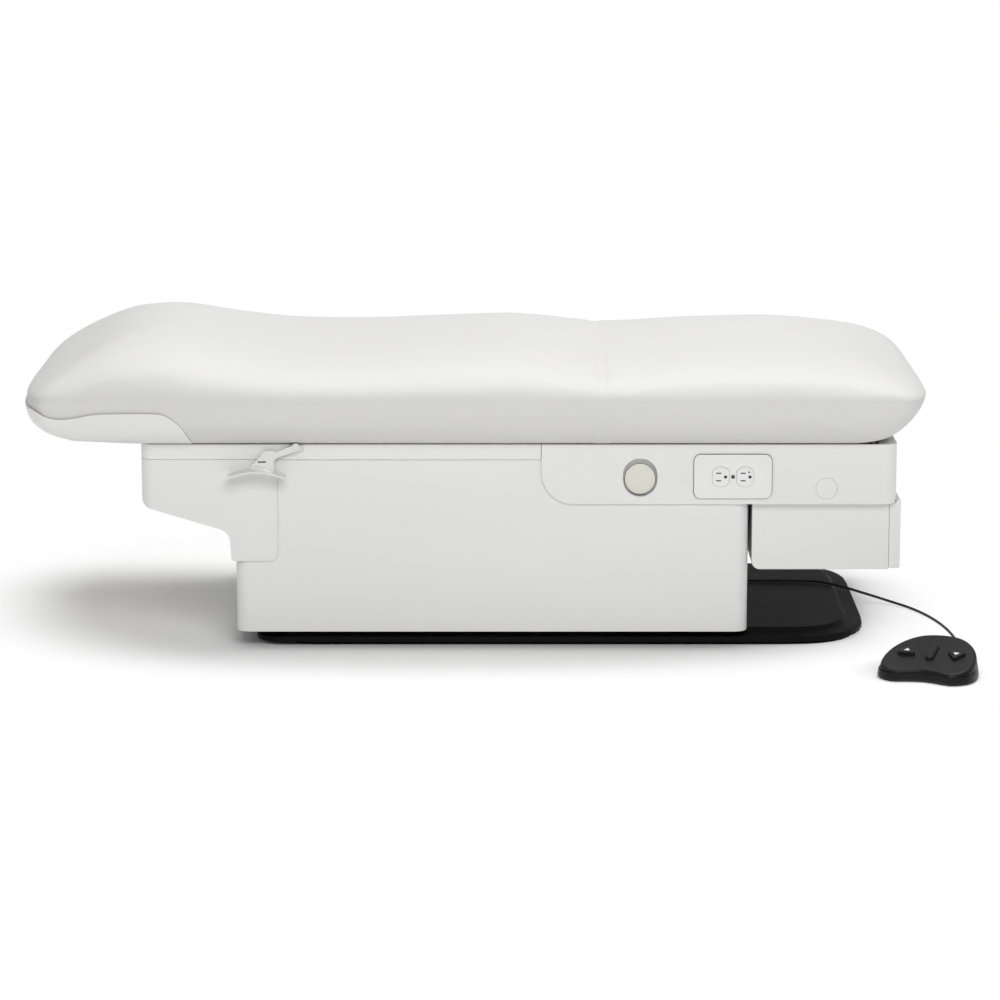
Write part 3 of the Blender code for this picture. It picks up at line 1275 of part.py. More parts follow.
def make_pedal(looks, base, up, down):
    incline = math.tan(PEDAL_SLOPE)
    low = PEDAL_FOOT + SEAT_GAP

    def top(drop):
        return lambda y: PEDAL_HEIGHT + incline * y - drop

    shape = loft([
        pedal_ring(1.0, lambda y: low), pedal_ring(PEDAL_FLANK_RATIO, lambda y: low + PEDAL_FLANK_RISE),
        pedal_ring(PEDAL_EDGE_RATIO, top(PEDAL_EDGE_DROP)),
        pedal_ring(PEDAL_TOP_RATIO, top(0.0)),
    ])
    ridge = rounded(rectangle(-RIDGE_HALF, RIDGE_HALF, RIDGE_FRONT, RIDGE_BACK, RIDGE_HALF - SEAT_GAP), 3)
    moved(shape, pedal_place())
    join(shape, moved(prism(ridge, 'Z', -JOIN_LAP, RIDGE_PROUD), key_place()))
    for name, side, frame in (('up_key', -1, up), ('down_key', 1, down)):
        well = prism(key_outline(side, KEY_GAP), 'Z', -KEY_DEPTH - KEY_TRAVEL - KEY_GAP, CUT_LAP)
        cut(shape, moved(well, key_place()))
        key = moved(prism(key_outline(side, 0), 'Z', -KEY_DEPTH, KEY_PROUD), key_place())
        add(key, name, looks['pedal'], frame)
    mouth = bar('Y', (RELIEF_X, RELIEF_Z), RELIEF_RADIUS + SEAT_GAP, RELIEF_IN - SEAT_GAP, 0, 16)
    cut(shape, mouth)
    add(shape, 'pedal_housing', looks['pedal'], base)
    foot = loft([pedal_ring(PEDAL_FOOT_RATIO, lambda y: z) for z in (0.0, PEDAL_FOOT)])
    add(moved(foot, pedal_place()), 'pedal_base', looks['rubber'], base)
    relief = bar('Y', (RELIEF_X, RELIEF_Z), RELIEF_RADIUS, RELIEF_IN, RELIEF_OUT, 16)
    add(relief, 'pedal_cord_relief', looks['rubber'], base)


def make_cord(looks, base):
    gland_low = COVER_TOP + SEAT_GAP
    half = GLAND_WIDTH / 2
    gland_top = gland_low + GLAND_HEIGHT
    profile = rounded(rectangle(GLAND_Y - half, GLAND_Y + half, gland_low, gland_top, GLAND_CORNER), 2)
    gland = prism(profile, 'X', GLAND_X, GLAND_X + GLAND_LENGTH)
    add(gland, 'cord_gland', looks['rubber'], base)

    start = (GLAND_X + GLAND_LENGTH + SEAT_GAP, GLAND_Y, gland_low + GLAND_HEIGHT / 2)
    end = (RELIEF_X, RELIEF_OUT + SEAT_GAP, RELIEF_Z)
    route = smooth_route([start] + CORD_ROUTE + [end], CORD_STEP)
    curve = bpy.data.curves.new('pedal_cord', 'CURVE')
    curve.dimensions = '3D'
    curve.bevel_depth = CORD_RADIUS
    curve.bevel_resolution = 2
    curve.use_fill_caps = True
    line = curve.splines.new('POLY')
    line.points.add(len(route) - 1)
    for knot, point in zip(line.points, route):
        knot.co = (*point, 1)
    cord = bpy.data.objects.new('pedal_cord', curve)
    curve.materials.append(looks['rubber'])
    cord.parent = base
    bpy.context.collection.objects.link(cord)


def main():
    for thing in list(bpy.data.objects):
        bpy.data.objects.remove(thing)
    looks = make_finishes()
    pin_x, pin_z = gas_pin()
    base = body('base_frame', (0, 0, 0))
    lower = body('lower_stage_frame', (0, 0, COVER_BOTTOM), base)
    upper = body('upper_stage_frame', (0, 0, COVER_BOTTOM), base)
    middle = body('middle_shroud_frame', (0, 0, COVER_TOP), base)
    chassis = body('lift_frame', (0, 0, RAIL_BOTTOM), base)
    back = body('back_frame', (CREASE_X, 0, HINGE_Z), chassis)
    cylinders = body('gas_cylinder_frame', (ANCHOR_X, 0, ANCHOR_Z), chassis)
    rods = body('gas_rod_frame', (pin_x, 0, pin_z), back)
    release = body('release_frame', (RELEASE_X, 0, RELEASE_Z), back)
    drawer = body('drawer_frame', (DRAWER_FOOT, 0, HOUSING_BOTTOM - DRAWER_HEIGHT), chassis)
    leg = body('leg_rest_frame', (HOUSING_FOOT, 0, LEG_LOW), chassis)
    up = body('up_key_frame', tuple(key_place() @ Vector((-KEY_SPREAD, 0, 0))), base)
    down = body('down_key_frame', tuple(key_place() @ Vector((KEY_SPREAD, 0, 0))), base)

    make_base(looks, base)
    make_columns(looks, base, lower, upper, chassis)
    make_shrouds(looks, base, middle)
    make_wrap(looks, chassis)
    make_head_cover(looks, chassis)
    make_band(looks, chassis)
    make_housing(looks, chassis)
    make_outlet(looks, chassis)
    make_hole_plug(looks, chassis)
    make_drawer(looks, chassis, drawer)
    make_leg_rest(looks, chassis, leg)
    make_chassis(looks, chassis)
    make_anchor(looks, chassis)
    make_hinge(looks, chassis, back)
    make_gas_springs(looks, cylinders, rods)
    make_seat_board(looks, chassis)
    make_back_board(looks, back)
    make_head_shell(looks, back)
    make_back_cushion(looks, back)
    make_seat_cushion(looks, chassis)
    make_release(looks, release)
    make_pedal(looks, base, up, down)
    make_cord(looks, base)


main()
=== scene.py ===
import json
import math

import bmesh
import bpy
from mathutils import Matrix, Vector

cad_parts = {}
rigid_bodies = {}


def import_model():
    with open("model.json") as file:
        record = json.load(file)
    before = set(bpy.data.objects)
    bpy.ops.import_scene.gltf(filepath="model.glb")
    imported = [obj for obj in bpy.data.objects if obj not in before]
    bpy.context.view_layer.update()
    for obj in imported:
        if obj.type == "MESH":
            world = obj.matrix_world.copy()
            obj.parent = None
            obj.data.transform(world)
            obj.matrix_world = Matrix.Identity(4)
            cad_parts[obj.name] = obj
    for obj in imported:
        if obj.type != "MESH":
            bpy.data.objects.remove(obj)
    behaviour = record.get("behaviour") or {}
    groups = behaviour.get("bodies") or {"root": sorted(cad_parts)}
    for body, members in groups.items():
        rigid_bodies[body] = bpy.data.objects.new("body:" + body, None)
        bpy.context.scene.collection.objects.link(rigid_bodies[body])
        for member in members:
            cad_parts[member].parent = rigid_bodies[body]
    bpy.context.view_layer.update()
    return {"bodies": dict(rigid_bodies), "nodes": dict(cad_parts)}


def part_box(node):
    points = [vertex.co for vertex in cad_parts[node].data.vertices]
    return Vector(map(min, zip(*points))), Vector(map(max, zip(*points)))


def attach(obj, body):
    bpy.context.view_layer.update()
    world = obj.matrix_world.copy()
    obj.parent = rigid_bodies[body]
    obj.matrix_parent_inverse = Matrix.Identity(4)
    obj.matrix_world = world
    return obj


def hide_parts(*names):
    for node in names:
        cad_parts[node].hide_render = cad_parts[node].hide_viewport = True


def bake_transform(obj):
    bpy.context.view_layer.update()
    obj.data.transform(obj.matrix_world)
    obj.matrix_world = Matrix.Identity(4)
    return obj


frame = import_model()
scene = bpy.context.scene
scene.view_settings.view_transform = "Standard"
print("frame loaded:", len(frame["nodes"]), "nodes")


# Shader helpers: a wrapped socket, and a finish that grows its own nodes


class Wire:
    def __init__(self, finish, socket):
        self.finish = finish
        self.socket = socket

    def maths(self, operation, first, second):
        return self.finish.node("ShaderNodeMath", {"operation": operation}, {0: first, 1: second})

    def __add__(self, other):
        return self.maths("ADD", self, other)

    def __radd__(self, other):
        return self.maths("ADD", other, self)

    def __sub__(self, other):
        return self.maths("SUBTRACT", self, other)

    def __rsub__(self, other):
        return self.maths("SUBTRACT", other, self)

    def __mul__(self, other):
        return self.maths("MULTIPLY", self, other)

    def __rmul__(self, other):
        return self.maths("MULTIPLY", other, self)


class Finish:
    def __init__(self, name, constants):
        self.material = bpy.data.materials.new(name)
        self.material.use_nodes = True
        self.tree = self.material.node_tree
        self.shader = self.tree.nodes["Principled BSDF"]
        self.coordinates = None
        for key, value in constants.items():
            self.shader.inputs[key].default_value = value

    def node(self, kind, settings=None, inputs=None, output=0):
        made = self.tree.nodes.new(kind)
        for key, value in (settings or {}).items():
            setattr(made, key, value)
        for key, value in (inputs or {}).items():
            self.feed(made.inputs[key], value)
        return Wire(self, made.outputs[output])

    def feed(self, socket, value):
        if isinstance(value, Wire):
            self.tree.links.new(value.socket, socket)
        else:
            socket.default_value = value

    def place(self, stretch=(1, 1, 1)):  # object coordinates, in metres, stretched where a grain runs one way
        if self.coordinates is None:
            self.coordinates = self.node("ShaderNodeTexCoord", output="Object")
        if stretch == (1, 1, 1):
            return self.coordinates
        return self.node("ShaderNodeVectorMath", {"operation": "MULTIPLY"}, {0: self.coordinates, 1: stretch})

    def noise(self, scale, detail=2.0, rough=0.5, stretch=(1, 1, 1)):
        inputs = {"Vector": self.place(stretch), "Scale": scale, "Detail": detail, "Roughness": rough}
        return self.node("ShaderNodeTexNoise", inputs=inputs)

    def cells(self, scale, smooth=0.6):
        inputs = {"Vector": self.place(), "Scale": scale, "Smoothness": smooth}
        return self.node("ShaderNodeTexVoronoi", {"feature": "SMOOTH_F1"}, inputs)

    def mix(self, factor, first, second):  # 6 and 7 are the node's colour sockets, output 2 is their result
        return self.node("ShaderNodeMix", {"data_type": "RGBA"}, {0: factor, 6: first, 7: second}, 2)

    def height(self):
        return self.node("ShaderNodeSeparateXYZ", inputs={0: self.place()}, output="Z")

    def band(self, value, low, high):  # 0 below low, 1 above high
        settings = {"interpolation_type": "SMOOTHSTEP"}
        return self.node("ShaderNodeMapRange", settings, {"Value": value, "From Min": low, "From Max": high})

    def bump(self, height, strength, distance, under=None):
        inputs = {"Height": height, "Strength": strength, "Distance": distance}
        if under is not None:
            inputs["Normal"] = under
        return self.node("ShaderNodeBump", inputs=inputs)

    def give(self, socketName, value):
        self.feed(self.shader.inputs[socketName], value)


def tint(rgb, factor=1.0):
    return tuple(min(1.0, c * factor) for c in rgb) + (1.0,)


vinylLook = {
    "colour": (0.672, 0.669, 0.657), "shade": (0.628, 0.625, 0.613), "cloud": 5.0, "handling": 38.0, "grain": 620.0,
    "pores": 1900.0, "grainDepth": 0.00022, "ripple": 9.0, "rippleDepth": 0.0016, "roughness": 0.50,
    "handlingSwing": 0.16, "grainSwing": 0.06, "valley": (0.10, 0.80), "shine": 0.30, "sheen": (0.06, 0.4),
}


def vinylFinish(name, look):
    sheen, sheenRough = look["sheen"]
    finish = Finish(name, {"Specular IOR Level": look["shine"], "Sheen Weight": sheen, "Sheen Roughness": sheenRough})
    cloud = finish.noise(look["cloud"], 3.0)
    handling = finish.noise(look["handling"], 4.0, 0.6)
    mottle = cloud * 0.6 + handling * 0.4
    grain = finish.cells(look["grain"])
    pores = finish.noise(look["pores"], 2.0)
    base = finish.mix(mottle, tint(look["shade"]), tint(look["colour"]))
    valley, valleyShade = look["valley"]  # painted shade: the grain's valleys are darkened a little
    finish.give("Base Color", finish.mix(grain * valley, base, tint(look["shade"], valleyShade)))
    finish.give("Roughness", look["roughness"] + (handling - 0.5) * look["handlingSwing"] + grain * look["grainSwing"])
    ripple = finish.noise(look["ripple"], 2.0, 0.4)
    swell = finish.bump(ripple, 0.22, look["rippleDepth"])
    leather = finish.bump(grain * 0.7 + pores * 0.3, 0.5, look["grainDepth"], swell)
    finish.give("Normal", leather)
    return finish.material


# Each moulding's own values, then what all of them share
mouldedLook = {
    "panel": {"colour": (0.750, 0.750, 0.741), "grain": 1500.0, "depth": 0.00010, "roughness": 0.34, "coat": 0.10},
    "outlet": {"colour": (0.775, 0.775, 0.766), "grain": 2200.0, "depth": 0.00004, "roughness": 0.22, "coat": 0.25},
    "beige": {"colour": (0.71, 0.705, 0.63), "grain": 1600.0, "depth": 0.00008, "roughness": 0.36, "coat": 0.05},
    "base": {
        "colour": (0.009, 0.0088, 0.0090), "grain": 900.0, "depth": 0.00025, "roughness": 0.42, "coat": 0.0,
        "shine": 0.04,
    },
    "pedal": {
        "colour": (0.0095, 0.0095, 0.0106), "grain": 1100.0, "depth": 0.00022, "roughness": 0.38, "coat": 0.0,
        "shine": 0.18,
    },
    "mark": {"colour": (0.78, 0.78, 0.78), "grain": 2000.0, "depth": 0.00003, "roughness": 0.40, "coat": 0.0},
    "green": {"colour": (0.05, 0.36, 0.12), "grain": 2000.0, "depth": 0.00003, "roughness": 0.30, "coat": 0.2},
    # the dark of the outlet's slot fills and of the ring round its plate: painted shade
    "paintedShade": {"colour": (0.018, 0.017, 0.016), "grain": 1500.0, "depth": 0.00005, "roughness": 0.60, "coat": 0.0},
    "rubber": {"colour": (0.020, 0.020, 0.021), "grain": 1800.0, "depth": 0.00008, "roughness": 0.56, "coat": 0.0},
}
wearLook = {
    "shine": 0.45, "coatRough": 0.25, "flow": 3.5, "flowStretch": (0.5, 1.0, 1.6), "flowTints": (0.955, 1.03),
    "flowDepth": 0.004, "scuff": 60.0, "scuffBand": (0.55, 0.80), "scuffShare": 0.12, "scuffTint": 0.82,
    "scuffSwing": 0.14, "grainSwing": 0.08,
}


def mouldedFinish(name, look, wear):
    colour, shine = look["colour"], look.get("shine", wear["shine"])
    constants = {"Specular IOR Level": shine, "Coat Roughness": wear["coatRough"], "Coat Weight": look["coat"]}
    finish = Finish(name, constants)
    flow = finish.noise(wear["flow"], 3.0, 0.5, wear["flowStretch"])  # the faint cloudiness of a large moulding
    scuff = finish.noise(wear["scuff"], 5.0, 0.65)
    grain = finish.noise(look["grain"], 3.0, 0.6)
    dark, pale = wear["flowTints"]
    clean = finish.mix(flow, tint(colour, dark), tint(colour, pale))
    scuffed = finish.band(scuff, *wear["scuffBand"]) * wear["scuffShare"]
    finish.give("Base Color", finish.mix(scuffed, clean, tint(colour, wear["scuffTint"])))
    swing = (scuff - 0.5) * wear["scuffSwing"] + (grain - 0.5) * wear["grainSwing"]
    finish.give("Roughness", look["roughness"] + swing)
    finish.give("Normal", finish.bump(grain, 0.4, look["depth"], finish.bump(flow, 0.08, wear["flowDepth"])))
    return finish.material


metalLook = {
    "bright": {"colour": (0.80, 0.80, 0.79), "metal": 1.0, "roughness": 0.27, "stretch": (6, 260, 260)},
    "paddle": {"colour": (0.80, 0.80, 0.79), "metal": 0.85, "roughness": 0.30, "stretch": (8, 200, 200)},
    "screw": {"colour": (0.10, 0.10, 0.10), "metal": 0.8, "roughness": 0.45, "stretch": (300, 20, 300)},
}
brushLook = {"tints": (0.88, 1.05), "swing": 0.22, "depth": 0.00008, "smear": 24.0, "smearSwing": 0.10}


def brushedFinish(name, look, stroke):
    finish = Finish(name, {"Metallic": look["metal"]})
    brush = finish.noise(1.0, 4.0, 0.7, look["stretch"])
    smear = finish.noise(stroke["smear"], 4.0, 0.6)
    dark, pale = stroke["tints"]
    finish.give("Base Color", finish.mix(brush, tint(look["colour"], dark), tint(look["colour"], pale)))
    swing = (brush - 0.5) * stroke["swing"] + (smear - 0.5) * stroke["smearSwing"]
    finish.give("Roughness", look["roughness"] + swing)
    finish.give("Normal", finish.bump(brush, 0.25, stroke["depth"]))
    return finish.material


paintLook = {
    "colour": (0.46, 0.47, 0.48), "peel": 420.0, "peelDepth": 0.00018, "roughness": 0.42, "coat": (0.15, 0.3),
    "dust": 12.0, "dustTint": (0.62, 0.61, 0.58), "dustBand": (0.35, 0.75), "dustShare": 0.35, "upward": (0.4, 1.0),
}


def paintedFinish(name, look):
    coat, coatRough = look["coat"]
    finish = Finish(name, {"Coat Weight": coat, "Coat Roughness": coatRough})
    peel = finish.noise(look["peel"], 2.0, 0.4)  # orange peel of a powder coat
    dust = finish.noise(look["dust"], 5.0, 0.6)
    facing = finish.node("ShaderNodeNewGeometry", output="Normal")
    up = finish.node("ShaderNodeSeparateXYZ", inputs={0: facing}, output="Z")
    settled = finish.band(up, *look["upward"]) * finish.band(dust, *look["dustBand"]) * look["dustShare"]
    finish.give("Base Color", finish.mix(settled, tint(look["colour"]), tint(look["dustTint"])))
    finish.give("Roughness", look["roughness"] + settled * 0.4 + (peel - 0.5) * 0.08)
    finish.give("Normal", finish.bump(peel, 0.35, look["peelDepth"]))
    return finish.material


plyLook = {
    "pale": (0.56, 0.40, 0.24), "dark": (0.36, 0.23, 0.12), "grain": (2.2, 46.0, 46.0), "pores": (30.0, 900.0, 900.0),
    "plies": 4200.0, "depth": 0.0003, "roughness": 0.58,
}


def plywoodFinish(name, look):
    finish = Finish(name, {})
    figure = finish.noise(1.0, 6.0, 0.62, look["grain"])
    pores = finish.noise(1.0, 2.0, 0.5, look["pores"])
    plies = finish.node("ShaderNodeMath", {"operation": "SINE"}, {0: finish.height() * look["plies"]})
    finish.give("Base Color", finish.mix(figure * 0.8 + plies * 0.1, tint(look["dark"]), tint(look["pale"])))
    finish.give("Roughness", look["roughness"] + (figure - 0.5) * 0.15)
    finish.give("Normal", finish.bump(pores * 0.6 + figure * 0.4, 0.3, look["depth"]))
    return finish.material


looks = {
    "vinyl": vinylFinish("whiteVinyl", vinylLook),
    "bright": brushedFinish("brightSteel", metalLook["bright"], brushLook),
    "paddle": brushedFinish("silverPaddle", metalLook["paddle"], brushLook),
    "screw": brushedFinish("darkScrew", metalLook["screw"], brushLook),
    "frame": paintedFinish("powderCoat", paintLook),
    "ply": plywoodFinish("birchPly", plyLook),
}
for key in mouldedLook:
    looks[key] = mouldedFinish(key + "Plastic", mouldedLook[key], wearLook)
print("finishes:", len(looks))


# Mesh helpers


def addPiece(name, mesh):
    piece = bpy.data.objects.new(name, mesh)
    scene.collection.objects.link(piece)
    return piece


def meshFrom(name, points, faces):
    mesh = bpy.data.meshes.new(name)
    mesh.from_pydata([tuple(p) for p in points], [], faces)
    work = bmesh.new()
    work.from_mesh(mesh)
    bmesh.ops.remove_doubles(work, verts=work.verts, dist=1e-6)
    bmesh.ops.recalc_face_normals(work, faces=work.faces)
    work.to_mesh(mesh)
    work.free()
    return mesh


def loftMesh(name, rings, capHigh=True):
    count = len(rings[0])
    points = [p for ring in rings for p in ring]
    faces = []
    for row in range(len(rings) - 1):
        for i in range(count):
            j = (i + 1) % count
            faces.append((row * count + i, row * count + j, (row + 1) * count + j, (row + 1) * count + i))
    faces.append(tuple(range(count)))
    if capHigh:
        faces.append(tuple(range((len(rings) - 1) * count, len(rings) * count)))
    return meshFrom(name, points, faces)


def raisedPlan(name, plan, low, high):  # a plan in x and y, carried up
    return addPiece(name, loftMesh(name, [[(x, y, z) for x, y in plan] for z in (low, high)]))


def discPlan(x, z, radius, sides=28):
    turns = [2 * math.pi * step / sides for step in range(sides)]
    return [(x + radius * math.cos(t), z + radius * math.sin(t)) for t in turns]


def sideLoft(name, levels):  # plans in x and z, each at its own y
    return addPiece(name, loftMesh(name, [[(x, y, z) for x, z in plan] for plan, y in levels]))


def shadeSmooth(mesh, degrees):
    mesh.polygons.foreach_set("use_smooth", [True] * len(mesh.polygons))
    mesh.set_sharp_from_angle(angle=math.radians(degrees))
    mesh.update()


def bodyOf(nodeName):
    holder = frame["nodes"][nodeName].parent
    return next(name for name, empty in frame["bodies"].items() if empty == holder)


def dress(piece, finish):
    piece.data.materials.clear()
    piece.data.materials.append(finish)
    return piece


def applyModifiers(piece):
    graph = bpy.context.evaluated_depsgraph_get()
    final = bpy.data.meshes.new_from_object(piece.evaluated_get(graph))
    piece.modifiers.clear()
    piece.data = final
    return piece


def carve(piece, cutter, operation="DIFFERENCE"):
    tool = piece.modifiers.new("carve", "BOOLEAN")
    tool.object = cutter
    tool.operation = operation
    tool.solver = "EXACT"
    applyModifiers(piece)
    bpy.data.objects.remove(cutter)
    return piece


def blockCutter(low, high):
    x0, y0, z0 = low
    x1, y1, z1 = high
    base = [(x0, y0), (x1, y0), (x1, y1), (x0, y1)]
    return raisedPlan("cutter", base, z0, z1)


softLook = {"weld": 2e-6, "flat": 0.6, "segments": 3, "angle": 32.0, "sharp": 48.0}


def cleanCopy(nodeName, pieceName, look):
    mesh = frame["nodes"][nodeName].data.copy()
    work = bmesh.new()
    work.from_mesh(mesh)
    bmesh.ops.remove_doubles(work, verts=work.verts, dist=look["weld"])
    bmesh.ops.dissolve_limit(work, angle_limit=math.radians(look["flat"]), verts=work.verts, edges=work.edges)
    work.to_mesh(mesh)
    work.free()
    return addPiece(pieceName, mesh)


def softened(nodeName, pieceName, finish, width, look):
    piece = cleanCopy(nodeName, pieceName, look)
    bevel = piece.modifiers.new("softEdges", "BEVEL")
    bevel.width = width
    bevel.segments = look["segments"]
    bevel.limit_method = "ANGLE"
    bevel.angle_limit = math.radians(look["angle"])
    bevel.use_clamp_overlap = True
    bevel.miter_outer = "MITER_ARC"
    applyModifiers(piece)
    shadeSmooth(piece.data, look["sharp"])
    weigh = piece.modifiers.new("weighted", "WEIGHTED_NORMAL")
    weigh.keep_sharp = True
    dress(piece, finish)
    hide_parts(nodeName)
    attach(piece, bodyOf(nodeName))
    return piece


def smoothLine(points, x):  # the height at x of a smooth line through the points
    for (x0, y0), (x1, y1) in zip(points, points[1:]):
        if x <= x1:
            break
    index = points.index((x0, y0))
    before = points[max(index - 1, 0)]
    after = points[min(index + 2, len(points) - 1)]
    slope0 = (y1 - before[1]) / (x1 - before[0])
    slope1 = (after[1] - y0) / (after[0] - x0)
    span = x1 - x0
    t = min(max((x - x0) / span, 0.0), 1.0)
    a, b = 2 * t ** 3 - 3 * t ** 2 + 1, t ** 3 - 2 * t ** 2 + t
    c, d = -2 * t ** 3 + 3 * t ** 2, t ** 3 - t ** 2
    return a * y0 + b * span * slope0 + c * y1 + d * span * slope1


# The pedal's cord: out of the gland, over the base cover, along the floor and up into the pedal

cordLook = {
    "radius": 0.00225, "step": 0.0125,
    "route": [
        (0.2563, 0.092, 0.0311), (0.270, 0.092, 0.0295), (0.300, 0.092, 0.0267), (0.434, 0.092, 0.0267),
        (0.535, 0.0890, 0.0270), (0.570, 0.070, 0.0272), (0.596, 0.055, 0.0236), (0.620, 0.048, 0.0175),
        (0.645, 0.040, 0.0112), (0.672, 0.022, 0.0058), (0.700, -0.014, 0.0032), (0.722, -0.070, 0.0030),
        (0.738, -0.135, 0.0030), (0.747, -0.200, 0.0030), (0.750, -0.265, 0.0034), (0.746, -0.335, 0.0080),
        (0.739, -0.377, 0.0130), (0.738, -0.3947, 0.014),
    ],
}


def routeSpan(p0, p1, p2, p3, step):  # points from p1 up to p2, on a curve that also looks to p0 and p3
    span = []
    count = max(round((p2 - p1).length / step), 1)
    for i in range(count):
        t = i / count
        bend = (p0 * 2 - p1 * 5 + p2 * 4 - p3) * t * t + (p1 * 3 - p0 - p2 * 3 + p3) * t ** 3
        span.append((p1 * 2 + (p2 - p0) * t + bend) / 2)
    return span


def smoothRoute(points, step):
    places = [Vector(p) for p in points]
    places = [places[0] * 2 - places[1]] + places + [places[-1] * 2 - places[-2]]
    route = []
    for four in zip(places, places[1:], places[2:], places[3:]):
        route += routeSpan(*four, step)
    return route + [places[-2]]


def makeCord(look):
    route = smoothRoute(look["route"], look["step"])
    curve = bpy.data.curves.new("pedalCord", "CURVE")
    curve.dimensions = "3D"
    curve.bevel_depth = look["radius"]
    curve.bevel_resolution = 4
    curve.use_fill_caps = True
    line = curve.splines.new("POLY")
    line.points.add(len(route) - 1)
    for point, place in zip(line.points, route):
        point.co = (*place, 1.0)
    line.use_smooth = True
    cord = bpy.data.objects.new("pedalCord", curve)
    scene.collection.objects.link(cord)
    cord.data.materials.append(looks["rubber"])
    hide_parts("pedal_cord")
    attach(cord, "base")
    length = sum((b - a).length for a, b in zip(route, route[1:]))
    return length


print("cord:", round(makeCord(cordLook), 3), "m")


# Upholstery: one closed, crowned form for each section, tucked under at its sides and ends

cushionLook = {
    "crease": 0.175, "floor": 0.335, "half": 0.355, "widest": 0.073, "gap": 0.0003, "creaseRound": 0.014,
    "creaseRun": 0.080, "crownPower": 3.25, "sideTuck": 0.050, "sidePower": 1.6, "lowerSteps": 12, "upperSteps": 34,
    "creaseTurn": 0.18, "creaseSteps": 48, "cornerSteps": 22, "sideSpread": 1.2, "ringSpread": 2.2,
    "head": {
        "end": -0.751, "bow": 0.063, "square": 3.3, "run": 0.290, "tuck": 0.130, "power": 2.9, "spans": 72,
        "board": (-0.611, 0.296), "slot": (0.0237, 0.399),
    },
    "foot": {
        "end": 0.699, "bow": 0.082, "square": 4.4, "run": 0.214, "tuck": 0.067, "power": 1.45, "spans": 44,
        "board": (0.622, 0.296), "slot": (0.207, 0.373),
    },
    "topLine": [
        (-0.760, 0.101), (-0.680, 0.132), (-0.600, 0.156), (-0.520, 0.160), (-0.440, 0.146), (-0.340, 0.133),
        (-0.220, 0.1305), (-0.080, 0.136), (0.030, 0.140), (0.110, 0.135), (0.175, 0.1265), (0.250, 0.129),
        (0.360, 0.134), (0.480, 0.1355), (0.600, 0.1225), (0.710, 0.101),
    ],
    "pocketTop": 0.0063, "pocketLap": 0.01, "boardCorner": 0.05, "hingeHalf": 0.1908, "hingeRoom": 0.005,
    "gasLow": 0.262, "gasHigh": 0.285, "cutLap": 0.05, "cutLow": 0.3, "cutHigh": 0.6, "sharp": 50.0, "fill": 0.9,
}


def crownShare(inset, look):
    return math.sqrt(1 - (1 - inset) ** look["crownPower"])


def tuckShare(height, power):
    return 1 - (1 - (1 - height) ** power) ** (1 / power)


def cushionPlan(length, half, end, bow, creaseInset, look):
    straight = length - bow
    spans, corners, creaseSteps = end["spans"], look["cornerSteps"], look["creaseSteps"]
    shares = [(step / spans) ** look["sideSpread"] for step in range(spans + 1)]
    near = [(creaseInset + (straight - creaseInset) * share, -half) for share in shares]
    power = 2 / end["square"]
    for step in range(1, corners):
        turn = math.radians(90 * (step / corners))
        near.append((straight + bow * math.sin(turn) ** power, -half * math.cos(turn) ** power))
    crease = [(creaseInset, half * math.cos(math.pi * step / creaseSteps)) for step in range(1, creaseSteps)]
    return near + [(length, 0.0)] + [(u, -y) for u, y in reversed(near)] + crease


def lowerRings(end, look, grow, lift):
    length = abs(end["end"] - look["crease"]) + grow
    rings = []
    for step in range(look["lowerSteps"]):
        share = step / look["lowerSteps"]
        half = look["half"] + grow - look["sideTuck"] * tuckShare(share, look["sidePower"])
        reach = length - end["tuck"] * tuckShare(share, end["power"])
        plan = cushionPlan(reach, half, end, end["bow"], look["gap"], look)
        rings.append([(u, y, look["floor"] + lift + share * (look["widest"] - lift)) for u, y in plan])
    return rings


def upperRings(end, look, grow):
    direction = math.copysign(1, end["end"] - look["crease"])
    length = abs(end["end"] - look["crease"]) + grow
    half = look["half"] + grow
    rings = []
    for step in range(look["upperSteps"] + 1):
        inset = (step / look["upperSteps"]) ** look["ringSpread"]
        turn = math.radians(90 * min(inset / look["creaseTurn"], 1) ** 0.5)
        creaseInset = look["gap"] + look["creaseRound"] * (1 - math.cos(turn))
        creaseInset += look["creaseRun"] * max(inset - look["creaseTurn"], 0)
        dip = look["creaseRound"] * (1 - math.sin(turn))
        bow = end["bow"] * (1 - inset)
        plan = cushionPlan(length - end["run"] * inset, half * (1 - inset), end, bow, creaseInset, look)
        ring = []
        for place, (u, y) in enumerate(plan):
            atCrease = place > len(plan) - look["creaseSteps"]
            rise = crownShare(1 - abs(y) / half if atCrease else inset, look)
            crown = smoothLine(look["topLine"], look["crease"] + direction * u) - look["widest"]
            ring.append((u, y, look["floor"] + look["widest"] + crown * rise - (dip if atCrease else 0.0)))
        rings.append(ring)
    return rings


def cushionForm(name, end, look, grow=0.0, lift=0.0, skirt=0.0):
    direction = math.copysign(1, end["end"] - look["crease"])
    rings = lowerRings(end, look, grow, lift) + upperRings(end, look, grow)
    if skirt:
        rings.insert(0, [(u, y, z - skirt) for u, y, z in rings[0]])
    placed = [[(look["crease"] + direction * u, y, z) for u, y, z in ring] for ring in rings]
    return addPiece(name, loftMesh(name, placed, capHigh=False))


def roundedPlan(corners, steps=8):
    points = []
    for index, (a, b, radius) in enumerate(corners):
        here = Vector((a, b))
        if not radius:
            points.append(here)
            continue
        before = (Vector(corners[index - 1][:2]) - here).normalized()
        after = (Vector(corners[(index + 1) % len(corners)][:2]) - here).normalized()
        half = before.angle(after) / 2
        centre = here + (before + after).normalized() * radius / math.sin(half)
        start = here + before * radius / math.tan(half) - centre
        end = here + after * radius / math.tan(half) - centre
        sweep = start.angle(end)
        for step in range(steps + 1):
            share = step / steps
            arm = (start * math.sin((1 - share) * sweep) + end * math.sin(share * sweep)) / math.sin(sweep)
            points.append(centre + arm)
    return points


